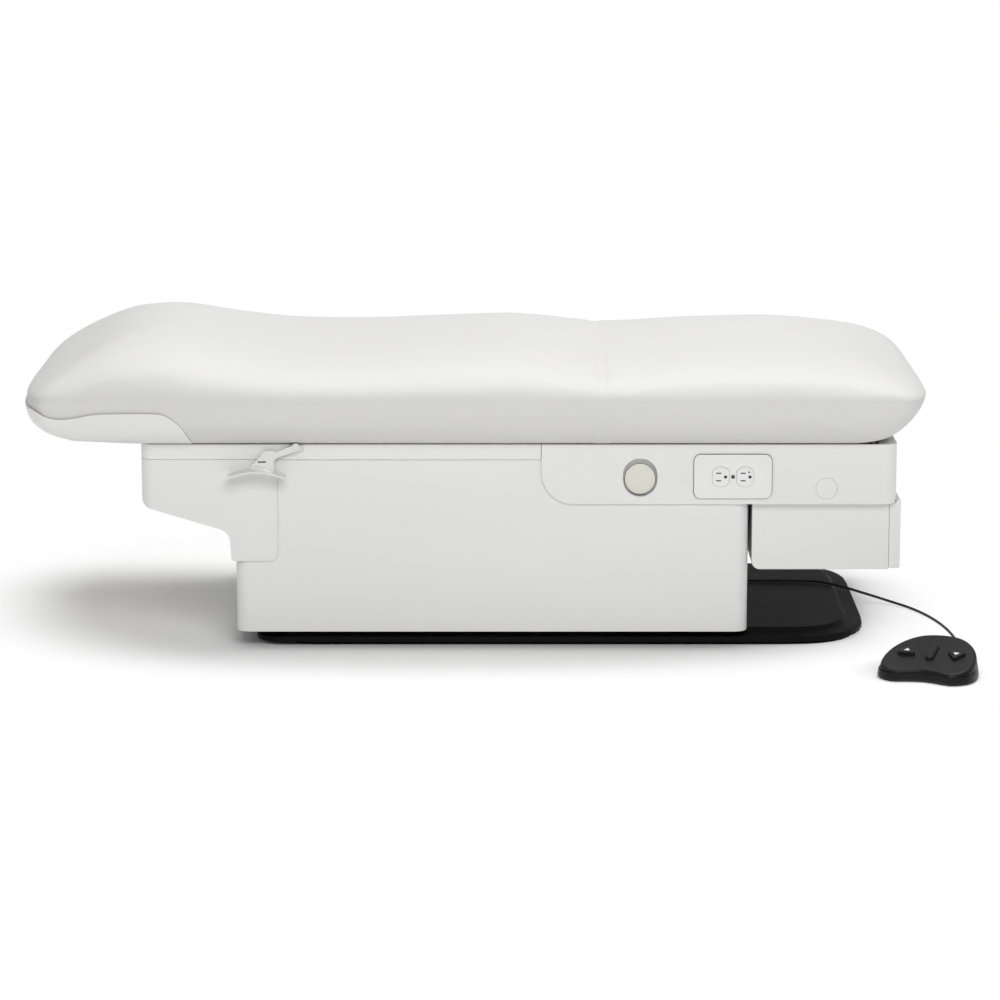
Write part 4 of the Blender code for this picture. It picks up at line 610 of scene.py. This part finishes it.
def boardPocket(end, look):
    (reach, half), lap, corner = end["board"], look["pocketLap"], look["boardCorner"]
    start = look["crease"] - math.copysign(lap, reach - look["crease"])
    reach += math.copysign(look["gap"], reach - look["crease"])
    half += look["gap"]
    plan = roundedPlan([(start, -half, 0), (reach, -half, corner), (reach, half, corner), (start, half, 0)])
    return raisedPlan("pocket", plan, look["floor"] - lap, look["floor"] + look["pocketTop"])


clothLook = {"pressure": 0.6, "frames": 20, "quality": 4, "cap": 0.0025, "sideHold": 0.022, "creaseHold": 0.034}


def plump(piece, look, isHeld):  # the cover is blown up as cloth over its filling, and moves no more than the cap
    rest = [vertex.co.copy() for vertex in piece.data.vertices]
    held = piece.vertex_groups.new(name="held")
    held.add([index for index, place in enumerate(rest) if isHeld(place)], 1.0, "REPLACE")
    cloth = piece.modifiers.new("plump", "CLOTH")
    cloth.settings.vertex_group_mass = "held"
    cloth.settings.quality = look["quality"]
    cloth.settings.use_pressure = True
    cloth.settings.uniform_pressure_force = look["pressure"]
    cloth.settings.effector_weights.gravity = 0.0
    cloth.point_cache.frame_start = 1
    cloth.point_cache.frame_end = look["frames"]
    for step in range(1, look["frames"] + 1):
        scene.frame_set(step)
    final = piece.evaluated_get(bpy.context.evaluated_depsgraph_get()).data
    moves = [vertex.co - place for vertex, place in zip(final.vertices, rest)]
    piece.modifiers.remove(cloth)
    scene.frame_set(1)
    for vertex, place, move in zip(piece.data.vertices, rest, moves):
        vertex.co = place + move / (1 + move.length / look["cap"])
    piece.vertex_groups.clear()
    print("plumped", piece.name, round(max(move.length for move in moves), 4))
    return piece


shellLook = {
    "wall": 0.004, "proud": 0.0025, "gap": 0.0003, "step": 0.003, "past": 0.12, "through": 1.0, "skirt": 0.01,
    "sharp": 40.0,
    "edge": [
        (0.000, 0.060), (0.028, 0.059), (0.049, 0.0495), (0.069, 0.0455), (0.095, 0.0478), (0.119, 0.0528),
        (0.149, 0.0547), (0.219, 0.0547), (0.240, 0.0495), (0.2585, 0.034), (0.268, 0.018), (0.275, 0.002),
        (0.278, -0.010),
    ],
}


def shellRegion(grow, look, cushion):
    head = cushion["head"]["end"]
    edge = [(head + along + grow, cushion["floor"] + height + grow, 0.0) for along, height in look["edge"]]
    curve = [(point.x, point.y) for point in smoothRoute(edge, look["step"])]
    far, through = head - look["past"], look["through"]
    outline = [(far, curve[-1][1])] + curve[::-1] + [(far, curve[0][1])]
    return sideLoft("region", [(outline, -through), (outline, through)])


def makeShell(look, cushion):
    head = cushion["head"]
    shell = cushionForm("headShell", head, cushion, look["proud"])
    carve(shell, cushionForm("core", head, cushion, look["proud"] - look["wall"], look["wall"]))
    carve(shell, shellRegion(0.0, look, cushion), "INTERSECT")
    carve(shell, boardPocket(head, cushion))
    shadeSmooth(shell.data, look["sharp"])
    dress(shell, looks["panel"])
    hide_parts("head_shell")
    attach(shell, "back_section")
    return shell


def shellRebate(look, cushion):
    head = cushion["head"]
    rebate = cushionForm("rebate", head, cushion, 2 * look["proud"], skirt=look["skirt"])
    inner = look["wall"] + look["gap"]
    carve(rebate, cushionForm("core", head, cushion, look["proud"] - inner, inner))
    return carve(rebate, shellRegion(look["gap"], look, cushion), "INTERSECT")


def makeCushion(nodeName, pieceName, end, look, rebate=None):
    piece = cushionForm(pieceName, end, look)
    sides, crease = look["floor"] + clothLook["sideHold"], look["crease"]
    plump(piece, clothLook, lambda at: at.z < sides or abs(at.x - crease) < clothLook["creaseHold"])
    if rebate:
        carve(piece, rebate)
    carve(piece, boardPocket(end, look))
    inward = math.copysign(1, end["end"] - crease)
    past, low, high, half = crease - inward * look["cutLap"], look["cutLow"], look["cutHigh"], look["hingeHalf"]
    room = sorted((past, crease + inward * look["hingeRoom"]))
    carve(piece, blockCutter((room[0], -half, low), (room[1], half, high)))  # room for the hinge
    slotX, slotTop = end["slot"]
    reach = sorted((slotX, past))
    for side in (-1, 1):  # and for the gas springs
        depth = sorted((side * look["gasLow"], side * look["gasHigh"]))
        carve(piece, blockCutter((reach[0], depth[0], low), (reach[1], depth[1], slotTop)))
    shadeSmooth(piece.data, look["sharp"])
    dress(piece, looks["vinyl"])
    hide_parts(nodeName)
    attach(piece, bodyOf(nodeName))
    return piece


# The vinyl runs on over the hinge as a shallow valley

webLook = {
    "half": 0.0145, "depth": 0.0020, "thick": 0.0005, "proud": 0.00025, "columns": 22, "fade": (0.05, 0.45),
    "bend": 0.009, "sharp": 50.0,
}


def sectionRows(look):  # round the section at the crease: how far out, share of the crown, share of the height below
    rows = []
    for step in range(look["lowerSteps"]):
        share = step / look["lowerSteps"]
        rows.append((look["half"] - look["sideTuck"] * tuckShare(share, look["sidePower"]), 0.0, share))
    for step in range(look["upperSteps"] + 1):
        inset = (step / look["upperSteps"]) ** look["ringSpread"]
        rows.append((look["half"] * (1 - inset), crownShare(inset, look), 1.0))
    return [(-y, rise, share) for y, rise, share in rows] + [(y, rise, share) for y, rise, share in rows[-2::-1]]


def webRing(rows, index, look, cushion):
    columns = look["columns"]
    outer, inner = [], []
    for column in range(columns + 1):
        s = 2 * column / columns - 1
        x = cushion["crease"] + s * look["half"]
        crown = smoothLine(cushion["topLine"], x) - cushion["widest"]
        path = []
        for y, rise, share in (rows[max(index - 1, 0)], rows[index], rows[min(index + 1, len(rows) - 1)]):
            path.append(Vector((x, y, cushion["floor"] + share * cushion["widest"] + crown * rise)))
        along = path[2] - path[0]
        out = Vector((0.0, -along.z, along.y)).normalized()
        low, high = look["fade"]
        fade = min(max((rows[index][1] - low) / (high - low), 0.0), 1.0)
        fade = fade * fade * (3 - 2 * fade)
        dip = fade * look["depth"] * (1 - s * s) ** 2
        lens = 1 - s ** 8
        top = path[1] + out * (look["proud"] * lens - dip)
        outer.append(top)
        inner.append(top - out * (look["thick"] * (1 - s * s)))  # the strip thins out to its two edges
    return outer + inner[-2:0:-1]


def makeWeb(look, cushion):
    rows = sectionRows(cushion)
    rings = [webRing(rows, index, look, cushion) for index in range(len(rows))]
    web = addPiece("creaseWeb", loftMesh("creaseWeb", rings))
    shadeSmooth(web.data, look["sharp"])
    dress(web, looks["vinyl"])
    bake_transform(web)


headShell = makeShell(shellLook, cushionLook)
backCushion = makeCushion(
    "back_cushion", "backCushion", cushionLook["head"], cushionLook, shellRebate(shellLook, cushionLook))
seatCushion = makeCushion("seat_cushion", "seatCushion", cushionLook["foot"], cushionLook)
makeWeb(webLook, cushionLook)
print("upholstery:", len(backCushion.data.polygons), len(seatCushion.data.polygons), len(headShell.data.polygons))


# The leg rest's pad: a boxed pad with rolled edges and a low crown

legPadLook = {
    "low": 0.2668, "height": 0.032, "head": 0.266, "foot": 0.6313, "half": 0.2166, "corner": 0.030, "tuck": 0.010,
    "roll": 0.030, "rollPower": 1.5, "share": 0.5, "rollRise": 0.46,
    "crown": [(0.060, 0.98), (0.110, 0.993), (0.170, 1.0)], "cornerGrow": 0.6, "cornerMost": 0.48, "steps": 12,
    "hold": 0.4, "sharp": 60.0, "fill": 0.85,
}


def makeLegPad(look):
    levels = []
    for step in range(look["steps"]):
        up = step / look["steps"]
        levels.append((look["tuck"] * (1 - up) ** 2, up * look["share"]))
    for step in range(look["steps"] + 1):
        turn = math.radians(90 * step / look["steps"])
        inset = look["roll"] * (1 - math.cos(turn)) ** look["rollPower"]
        levels.append((inset, look["share"] + look["rollRise"] * math.sin(turn)))
    rings = []
    for inset, rise in levels + look["crown"]:
        half = look["half"] - inset
        low, high = look["head"] + inset, look["foot"] - inset
        corner = min(max(look["corner"], inset * look["cornerGrow"]), look["cornerMost"] * (high - low))
        plan = roundedPlan([(low, -half, corner), (high, -half, corner), (high, half, corner), (low, half, corner)], 10)
        rings.append([(x, y, look["low"] + rise * look["height"]) for x, y in plan])
    pad = addPiece("legPad", loftMesh("legPad", rings))
    plump(pad, clothLook, lambda at: at.z < look["low"] + look["hold"] * look["share"] * look["height"])
    shadeSmooth(pad.data, look["sharp"])
    dress(pad, looks["vinyl"])
    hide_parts("leg_pad")
    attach(pad, bodyOf("leg_pad"))


makeLegPad(legPadLook)
print("leg rest pad ready")


# The foot pedal: a kidney-shaped moulding with a toe ridge and two keys, each with its arrow

pedalLook = {
    "place": (0.686, -0.478, 0.0), "turn": -20.0, "slope": 12.0, "low": 0.0043, "height": 0.0316, "step": 0.0035,
    "outline": [
        (0.0, 0.078), (0.036, 0.069), (0.063, 0.037), (0.0765, -0.008), (0.073, -0.050), (0.049, -0.071),
        (0.020, -0.063), (0.0, -0.059),
    ],
    "flank": [(1.0, 0.0), (1.0, 0.0015), (0.996, 0.004), (0.985, 0.0095)], "edge": 0.955, "top": 0.895, "roll": 0.0075,
    "rollSteps": 10, "inner": (0.78, 0.5), "mouth": (0.738, 0.014, 0.0048, -0.4343, -0.30), "mouthSides": 24,
    "ridge": (0.0068, -0.022, 0.030, 0.0056),
    "ridgeLevels": [(0.0, -0.4), (0.0, 0.3), (0.0008, 0.6), (0.0021, 0.84), (0.0036, 0.96), (0.0055, 1.0)],
    "spread": 0.039, "key": 0.033, "keyRound": 0.004, "keyGap": 0.0006, "keyDepth": 0.010, "keyTravel": 0.003,
    "keyProud": 0.005, "keyEdge": [(0.0, 0.0016), (-0.0004, 0.0007), (-0.0011, 0.0001), (-0.0019, 0.0)],
    "wellTop": 0.02, "arrow": 0.0100, "arrowRound": 0.0004, "arrowSunk": 0.0002, "arrowProud": 0.00015,
    "leastRound": 0.0004, "keySharp": 40.0, "sharp": 35.0,
}


def pedalFrame(look):
    return Matrix.Translation(look["place"]) @ Matrix.Rotation(math.radians(look["turn"]), 4, "Z")


def keyFrame(look):
    lean = Matrix.Rotation(math.radians(look["slope"]), 4, "X")
    return pedalFrame(look) @ Matrix.Translation((0, 0, look["height"])) @ lean


def closedRoute(points, step):
    laps = [Vector((x, y, 0)) for x, y in points]
    route = []
    for i in range(len(laps)):
        route += routeSpan(*[laps[(i + shift) % len(laps)] for shift in (-1, 0, 1, 2)], step)
    return route


def pedalRings(look):
    half = look["outline"]
    outline = closedRoute(half + [(-x, y) for x, y in reversed(half[1:-1])], look["step"])
    incline = math.tan(math.radians(look["slope"]))
    rings = [[(p.x * ratio, p.y * ratio, look["low"] + rise) for p in outline] for ratio, rise in look["flank"]]
    for step in range(look["rollSteps"] + 1):
        turn = math.radians(90 * step / look["rollSteps"])
        ratio = look["top"] + (look["edge"] - look["top"]) * math.cos(turn)
        drop = look["roll"] * (1 - math.sin(turn))
        rings.append([(p.x * ratio, p.y * ratio, look["height"] + incline * p.y * ratio - drop) for p in outline])
    for ratio in look["inner"]:
        rings.append([(p.x * ratio, p.y * ratio, look["height"] + incline * p.y * ratio) for p in outline])
    return rings


def keyPlan(side, size, radius, look):
    height = size * math.sqrt(3) / 2
    point, middle = -side, side * look["spread"]
    corners = [(middle - size / 2, -point * height / 3), (middle + size / 2, -point * height / 3),
               (middle, point * height * 2 / 3)]
    return roundedPlan([(x, y, radius) for x, y in corners], 6)


def keyLoft(name, side, levels, look, part="key"):
    rings = []
    for grow, z in levels:
        corner = max(look[part + "Round"] + grow, look["leastRound"])
        plan = keyPlan(side, look[part] + grow * 6 / math.sqrt(3), corner, look)
        rings.append([keyFrame(look) @ Vector((x, y, z)) for x, y in plan])
    return addPiece(name, loftMesh(name, rings))


def toeRidge(look):
    half, front, back, proud = look["ridge"]
    rings = []
    for inset, share in look["ridgeLevels"]:
        wide = half - inset
        corner = wide * 0.98
        plan = roundedPlan([(-wide, front + inset, corner), (wide, front + inset, corner),
                            (wide, back - inset, corner), (-wide, back - inset, corner)], 6)
        rings.append([keyFrame(look) @ Vector((x, y, proud * share)) for x, y in plan])
    return addPiece("ridge", loftMesh("ridge", rings))


def makePedal(look):
    pedal = addPiece("pedalHousing", loftMesh("pedalHousing", pedalRings(look)))
    pedal.data.transform(pedalFrame(look))
    carve(pedal, toeRidge(look), "UNION")
    floor = -look["keyDepth"] - look["keyTravel"] - look["keyGap"]
    proud = look["keyProud"]
    rounding = [(0.0, -look["keyDepth"])] + [(grow, proud - drop) for grow, drop in look["keyEdge"]]
    flat = [(0.0, proud - look["arrowSunk"]), (0.0, proud + look["arrowProud"])]
    x, z, radius, inner, outer = look["mouth"]
    mouth = discPlan(x, z, radius, look["mouthSides"])
    carve(pedal, sideLoft("mouth", [(mouth, inner), (mouth, outer)]))
    for side, nodeName, pieceName in ((-1, "up_key", "upKey"), (1, "down_key", "downKey")):
        carve(pedal, keyLoft("well", side, [(look["keyGap"], floor), (look["keyGap"], look["wellTop"])], look))
        key = keyLoft(pieceName, side, rounding, look)
        arrow = keyLoft(pieceName + "Arrow", side, flat, look, "arrow")
        shadeSmooth(key.data, look["keySharp"])
        dress(key, looks["pedal"])
        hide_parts(nodeName)
        dress(arrow, looks["mark"])
        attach(key, nodeName)
        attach(arrow, nodeName)
    shadeSmooth(pedal.data, look["sharp"])
    dress(pedal, looks["pedal"])
    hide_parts("pedal_housing")
    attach(pedal, "base")


makePedal(pedalLook)
print("pedal ready")


# The outlet: a plate over a thin dark ring of painted shadow, two round faces with flat sides, slots filled with
# painted shade, one screw and a green dot

outletLook = {
    "centre": (0.3835, 0.2815), "back": -0.3053, "front": -0.3093, "half": (0.062, 0.0355), "corner": 0.011,
    "plateEdge": [(0.0, 0.0014), (-0.0004, 0.0004), (-0.0014, 0.0)], "shadowRing": 0.0008, "shadowRingLap": 0.002,
    "shadowRingDepth": (0.0002, -0.0006), "pitch": 0.0389, "flat": 0.0136, "radius": 0.0162, "faceSides": 72,
    "proud": 0.0012, "faceEdge": [(0.0, 0.0006), (-0.0003, 0.0001), (-0.0007, 0.0)], "gap": 0.0004, "depth": 0.006,
    "body": (0.0352, 0.0182, -0.2753), "bodySeat": 0.0003, "faceRoot": 0.004, "sunk": 0.0008, "through": 0.01,
    "slot": (-0.0075, 0.0005, 0.0061, 0.0010), "earth": (0.0075, 0.0026), "dot": (0.0061, 0.0076, 0.0017),
    "dotHalf": 0.0002, "screw": 0.0031, "screwLevels": [(1.0, 0.0002), (1.0, -0.0007), (0.86, -0.0012)],
    "slit": (1.2, 0.0004, 0.0006), "sharp": 35.0,
}


def outletPlan(look, grow):
    (x, z), corner = look["centre"], look["corner"] + grow
    halfX, halfZ = look["half"][0] + grow, look["half"][1] + grow
    corners = [(x - halfX, z - halfZ), (x + halfX, z - halfZ), (x + halfX, z + halfZ), (x - halfX, z + halfZ)]
    return roundedPlan([(a, b, corner) for a, b in corners], 8)


def facePlan(look, side, grow):
    (x, z), sides = look["centre"], look["faceSides"]
    middle, flat, radius = x + side * look["pitch"] / 2, look["flat"] + grow, look["radius"] + grow
    turns = [2 * math.pi * step / sides for step in range(sides)]
    return [(middle + min(max(radius * math.cos(t), -flat), flat), z + radius * math.sin(t)) for t in turns]


def pinCutters(look, side, y0, y1):
    x, z = look["centre"]
    middle = x + side * look["pitch"] / 2
    start, end, rise, half = look["slot"]
    earth, radius = look["earth"]
    cutters = []
    for up in (-rise, rise):
        cutters.append(blockCutter((middle + start, y0, z + up - half), (middle + end, y1, z + up + half)))
    pin = discPlan(middle + earth, z, radius)
    return cutters + [sideLoft("pin", [(pin, y0), (pin, y1)])]


def makeOutlet(look):
    x, z = look["centre"]
    back, front, through = look["back"], look["front"], look["through"]
    face = front - look["proud"]
    edge = [(0.0, back)] + [(grow, front + behind) for grow, behind in look["plateEdge"]]
    plate = sideLoft("outletPlate", [(outletPlan(look, grow), y) for grow, y in edge])
    # painted shadow: a thin dark ring just past the plate's edge, standing in for the shadow gap round the plate
    ringPlan, holePlan = outletPlan(look, look["shadowRing"]), outletPlan(look, -look["shadowRingLap"])
    ring = sideLoft("outletShadowRing", [(ringPlan, back + behind) for behind in look["shadowRingDepth"]])
    carve(ring, sideLoft("inner", [(holePlan, back + through), (holePlan, back - through)]))
    bodyX, bodyZ, bodyBack = look["body"]
    body = blockCutter((x - bodyX, back + look["bodySeat"], z - bodyZ), (x + bodyX, bodyBack, z + bodyZ))
    body.name = "outletReceptacle"
    slotShadeFills = []
    for side in (-1, 1):
        opening = facePlan(look, side, look["gap"])
        carve(plate, sideLoft("opening", [(opening, back + through), (opening, front - through)]))
        rim = [(0.0, bodyBack - look["faceRoot"])] + [(grow, face + behind) for grow, behind in look["faceEdge"]]
        carve(body, sideLoft("face", [(facePlan(look, side, grow), y) for grow, y in rim]), "UNION")
        for cutter in pinCutters(look, side, face - through, face + look["depth"]):
            carve(body, cutter)
        # painted shade: dark fills sunk a little below each face, in its slots and earth hole, in place of the shade
        # inside the openings
        slotShadeFills += pinCutters(look, side, face + look["sunk"], face + look["depth"])
    slotShade = slotShadeFills[0]
    slotShade.name = "outletSlotShade"
    for insert in slotShadeFills[1:]:
        carve(slotShade, insert, "UNION")
    levels = [(discPlan(x, z, look["screw"] * ratio), front + behind) for ratio, behind in look["screwLevels"]]
    screw = sideLoft("outletScrew", levels)
    ratio, half, deep = look["slit"]
    reach = look["screw"] * ratio
    carve(screw, blockCutter((x - reach, front - through, z - half), (x + reach, front - deep, z + half)))
    along, up, dotRadius = look["dot"]
    spot = discPlan(x + look["pitch"] / 2 + along, z + up, dotRadius)
    dot = sideLoft("outletDot", [(spot, face + look["dotHalf"]), (spot, face - look["dotHalf"])])
    # the shadow ring and the slot fills carry painted shade, though their slot is given as rubber
    made = ((plate, "outlet", "outlet_plastic"), (ring, "paintedShade", "rubber"), (body, "outlet", "outlet_plastic"),
            (slotShade, "paintedShade", "rubber"), (screw, "screw", "bright_steel"), (dot, "green", "outlet_plastic"))
    for piece, finishKey, slotName in made:
        shadeSmooth(piece.data, look["sharp"])
        dress(piece, looks[finishKey])
        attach(piece, "lift_top")
    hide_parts("outlet_plate")
    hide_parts("outlet_receptacle")


makeOutlet(outletLook)
print("outlet ready")


# Small mouldings on the lifted top: a collar about each beige cap, a deck strip, a bush in each slot of the band


def setOnTop(piece, sharp=35.0):
    shadeSmooth(piece.data, sharp)
    dress(piece, looks["panel"])
    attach(piece, "lift_top")


collarLook = {
    "hole": 0.0305, "rise": 0.007, "bend": 0.98, "gap": 0.0003, "front": 0.2925, "back": 0.2885, "bore": (0.32, 0.28),
    "boreSides": 56,
}


def makeCollar(nodeName, pieceName, look):
    low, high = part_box(nodeName)
    x, z, radius = (low[0] + high[0]) / 2, (low[2] + high[2]) / 2, (high[0] - low[0]) / 2
    side = math.copysign(1, low[1])
    reach, top = look["hole"], z + look["hole"] + look["rise"]
    corners = [(x - reach, z - reach), (x + reach, z - reach), (x + reach, top), (x - reach, top)]
    plan = roundedPlan([(a, b, look["bend"] * reach) for a, b in corners], 12)
    collar = sideLoft(pieceName, [(plan, side * look["front"]), (plan, side * look["back"])])
    bore = discPlan(x, z, radius + look["gap"], look["boreSides"])
    carve(collar, sideLoft("bore", [(bore, side * y) for y in look["bore"]]))
    setOnTop(collar)


deckLook = {"head": 0.6155, "foot": 0.6408, "half": 0.3001, "corner": 0.015, "low": 0.3303, "high": 0.3328}


def makeDeck(look):  # closes the housing's top at the foot end, below the seat
    head, foot, half, corner = look["head"], look["foot"], look["half"], look["corner"]
    plan = roundedPlan([(head, -half, 0), (foot, -half, corner), (foot, half, corner), (head, half, 0)])
    setOnTop(raisedPlan("housingDeck", plan, look["low"], look["high"]))


bushLook = {
    "half": 0.0105, "drop": 0.0075, "gap": 0.0006, "rise": 0.0018, "recess": 0.0008, "thick": 0.0016, "steps": 12,
}


def makeBush(pieceName, side, look):  # fills the slot about the release shaft, open above for the fold
    low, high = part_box("release_shaft")
    x, z, notch = (low[0] + high[0]) / 2, (low[2] + high[2]) / 2, (high[0] - low[0]) / 2 + look["gap"]
    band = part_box("top_band")[1]
    half, bottom, top, face = look["half"], z - look["drop"], band[2] + look["rise"], band[1] - look["recess"]
    turns = [-math.pi * step / look["steps"] for step in range(look["steps"] + 1)]
    plan = [(x - half, bottom), (x + half, bottom), (x + half, top), (x + notch, top)]
    plan += [(x + notch * math.cos(turn), z + notch * math.sin(turn)) for turn in turns]
    plan += [(x - notch, top), (x - half, top)]
    setOnTop(sideLoft(pieceName, [(plan, side * face), (plan, side * (face - look["thick"]))]))


makeDeck(deckLook)
makeBush("shaftBushNear", -1, bushLook)
makeBush("shaftBushFar", 1, bushLook)
makeCollar("anchor_cap_near", "capCollarNear", collarLook)
makeCollar("anchor_cap_far", "capCollarFar", collarLook)
print("collars, deck and bushes ready")


# Moulded covers and visible fittings: the solid's own shape with soft edges

coverLook = {
    "body_wrap": ("bodyWrap", "panel", "panel", 0.0010),
    "head_end_cover": ("headEndCover", "panel", "panel", 0.0012),
    "top_band": ("topBand", "panel", "panel", 0.0010),
    "foot_housing": ("footHousing", "panel", "panel", 0.0014),
    "drawer_casing": ("drawerCasing", "panel", "panel", 0.0010),
    "drawer_front": ("drawerFront", "panel", "panel", 0.0028),
    "drawer_tray": ("drawerTray", "panel", "panel", 0.0006),
    "hole_plug": ("holePlug", "panel", "panel", 0.0008),
    "anchor_cap_near": ("anchorCapNear", "beige", "beige_plastic", 0.0012),
    "anchor_cap_far": ("anchorCapFar", "beige", "beige_plastic", 0.0012),
    "base_cover": ("baseCover", "base", "base_plastic", 0.0015),
    "release_paddle_near": ("releasePaddleNear", "paddle", "bright_steel", 0.0008),
    "release_paddle_far": ("releasePaddleFar", "paddle", "bright_steel", 0.0008),
    "control_box": ("controlBox", "pedal", "pedal_plastic", 0.0015),
}
covers = {}
for nodeName, (pieceName, finishKey, slotName, width) in coverLook.items():
    covers[nodeName] = softened(nodeName, pieceName, looks[finishKey], width, softLook)
print("covers:", len(covers))

bandLook = {"lip": 0.0022, "edge": 0.002}  # the band's upper edge stands a little closer to the cushion
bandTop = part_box("top_band")[1][2]
for vertex in covers["top_band"].data.vertices:
    if vertex.co.z > bandTop - bandLook["edge"]:
        vertex.co.z += bandLook["lip"]


# The solids that stay as they are take their finishes

nodeLook = {
    "base_plate": "base", "column_outer_head": "frame", "column_outer_foot": "frame",
    "column_motor_head": "pedal", "column_motor_foot": "pedal", "base_shroud": "panel", "middle_shroud": "panel",
    "cord_gland": "rubber", "pedal_base": "rubber", "pedal_cord_relief": "rubber",
    "column_lower_stage_head": "bright", "column_lower_stage_foot": "bright",
    "column_upper_stage_head": "bright", "column_upper_stage_foot": "bright",
    "column_inner_head": "bright", "column_inner_foot": "bright", "chassis_frame": "frame",
    "leg_runner_near": "bright", "leg_runner_far": "bright", "anchor_tube": "bright",
    "hinge_leaf_seat": "bright", "hinge_leaf_back": "bright", "hinge_rod": "bright",
    "seat_board": "ply", "back_board": "ply", "leg_board": "panel",
    "back_rest_pad_near": "rubber", "back_rest_pad_far": "rubber",
    "gas_cylinder_near": "pedal", "gas_cylinder_far": "pedal", "gas_rod_near": "bright", "gas_rod_far": "bright",
    "release_shaft": "bright",
}
for nodeName, finishKey in nodeLook.items():
    for holder in frame["nodes"][nodeName].material_slots:
        holder.material = looks[finishKey]
print("carried-over solids:", len(nodeLook))


# Floor, backdrop, soft light and the camera

stageLook = {
    "floor": (0.93, 0.93, 0.93), "span": 30.0, "world": 0.37,
    "clearing": (0.52, 0.76), "middle": (0.06, -0.12, 0.0), "stretch": (0.85, 1.0, 1.0),
    "pedal": (-0.686, 0.478, 0.0), "pedalClearing": (0.080, 0.135),
    "lamps": [
        ("keyLamp", 90.0, (0.5, -4.2, 3.0), (3.0, 1.6)), ("sideLamp", 2.0, (-2.8, -2.0, 1.4), (1.6, 1.6)),
        ("topLamp", 200.0, (0.68, 1.20, 4.8), (4.2, 2.9)),
    ],
    "aim": (0.0, 0.0, 0.3), "camera": (0.013, -6.3, 1.4), "pitch": 10.921, "lens": 138.0, "sensor": 36.0,
}


def makeFloor(look):
    span = look["span"]
    corners = [(-span, -span, 0), (span, -span, 0), (span, span, 0), (-span, span, 0)]
    mesh = meshFrom("floor", corners, [(0, 1, 2, 3)])
    floor = addPiece("floor", mesh)
    finish = Finish("paleFloor", {"Roughness": 0.9, "Specular IOR Level": 0.1})
    cloud = finish.noise(0.8, 2.0)
    finish.give("Base Color", finish.mix(cloud, tint(look["floor"], 0.99), tint(look["floor"], 1.01)))
    # Away from the object the floor turns to plain white for the rays that see it
    clear = 1.0
    for shift, stretch, reach in (("middle", look["stretch"], "clearing"), ("pedal", (1, 1, 1), "pedalClearing")):
        offset = finish.node("ShaderNodeVectorMath", {"operation": "ADD"}, {0: finish.place(), 1: look[shift]})
        oval = finish.node("ShaderNodeVectorMath", {"operation": "MULTIPLY"}, {0: offset, 1: stretch})
        far = finish.node("ShaderNodeVectorMath", {"operation": "LENGTH"}, {0: oval}, "Value")
        clear = clear * finish.band(far, *look[reach])
    kinds = ("Is Camera Ray", "Is Glossy Ray", "Is Transmission Ray")
    rays = [finish.node("ShaderNodeLightPath", output=kind) for kind in kinds]
    seen = clear * (rays[0] + rays[1] + rays[2])
    white = finish.node("ShaderNodeEmission", inputs={"Strength": 1.0})
    lit = Wire(finish, finish.shader.outputs[0])
    shown = finish.node("ShaderNodeMixShader", inputs={0: seen, 1: lit, 2: white})
    finish.feed(finish.tree.nodes["Material Output"].inputs["Surface"], shown)
    mesh.materials.append(finish.material)


def addLamp(name, power, place, size, aim):
    lamp = bpy.data.lights.new(name, "AREA")
    lamp.energy = power
    lamp.shape = "RECTANGLE"
    lamp.size, lamp.size_y = size
    holder = bpy.data.objects.new(name, lamp)
    scene.collection.objects.link(holder)
    holder.location = place
    holder.rotation_euler = (Vector(aim) - Vector(place)).to_track_quat("-Z", "Y").to_euler()


def makeWorld(look):
    world = bpy.data.worlds.new("studio")
    scene.world = world
    world.use_nodes = True
    tree = world.node_tree
    shade, white = tree.nodes["Background"], tree.nodes.new("ShaderNodeBackground")
    for backdrop, strength in ((shade, look["world"]), (white, 1.0)):
        backdrop.inputs["Color"].default_value = (1, 1, 1, 1)
        backdrop.inputs["Strength"].default_value = strength
    path = tree.nodes.new("ShaderNodeLightPath")
    swap = tree.nodes.new("ShaderNodeMixShader")
    tree.links.new(path.outputs["Is Camera Ray"], swap.inputs[0])
    tree.links.new(shade.outputs[0], swap.inputs[1])
    tree.links.new(white.outputs[0], swap.inputs[2])
    tree.links.new(swap.outputs[0], tree.nodes["World Output"].inputs["Surface"])


def makeCamera(look):
    lens = bpy.data.cameras.new("photoCamera")
    lens.lens = look["lens"]
    lens.sensor_width = look["sensor"]
    camera = bpy.data.objects.new("photoCamera", lens)
    scene.collection.objects.link(camera)
    camera.location = look["camera"]
    camera.rotation_euler = (math.radians(90 - look["pitch"]), 0, 0)
    scene.camera = camera


makeFloor(stageLook)
makeWorld(stageLook)
for lamp in stageLook["lamps"]:
    addLamp(*lamp, stageLook["aim"])
makeCamera(stageLook)
print("stage ready")
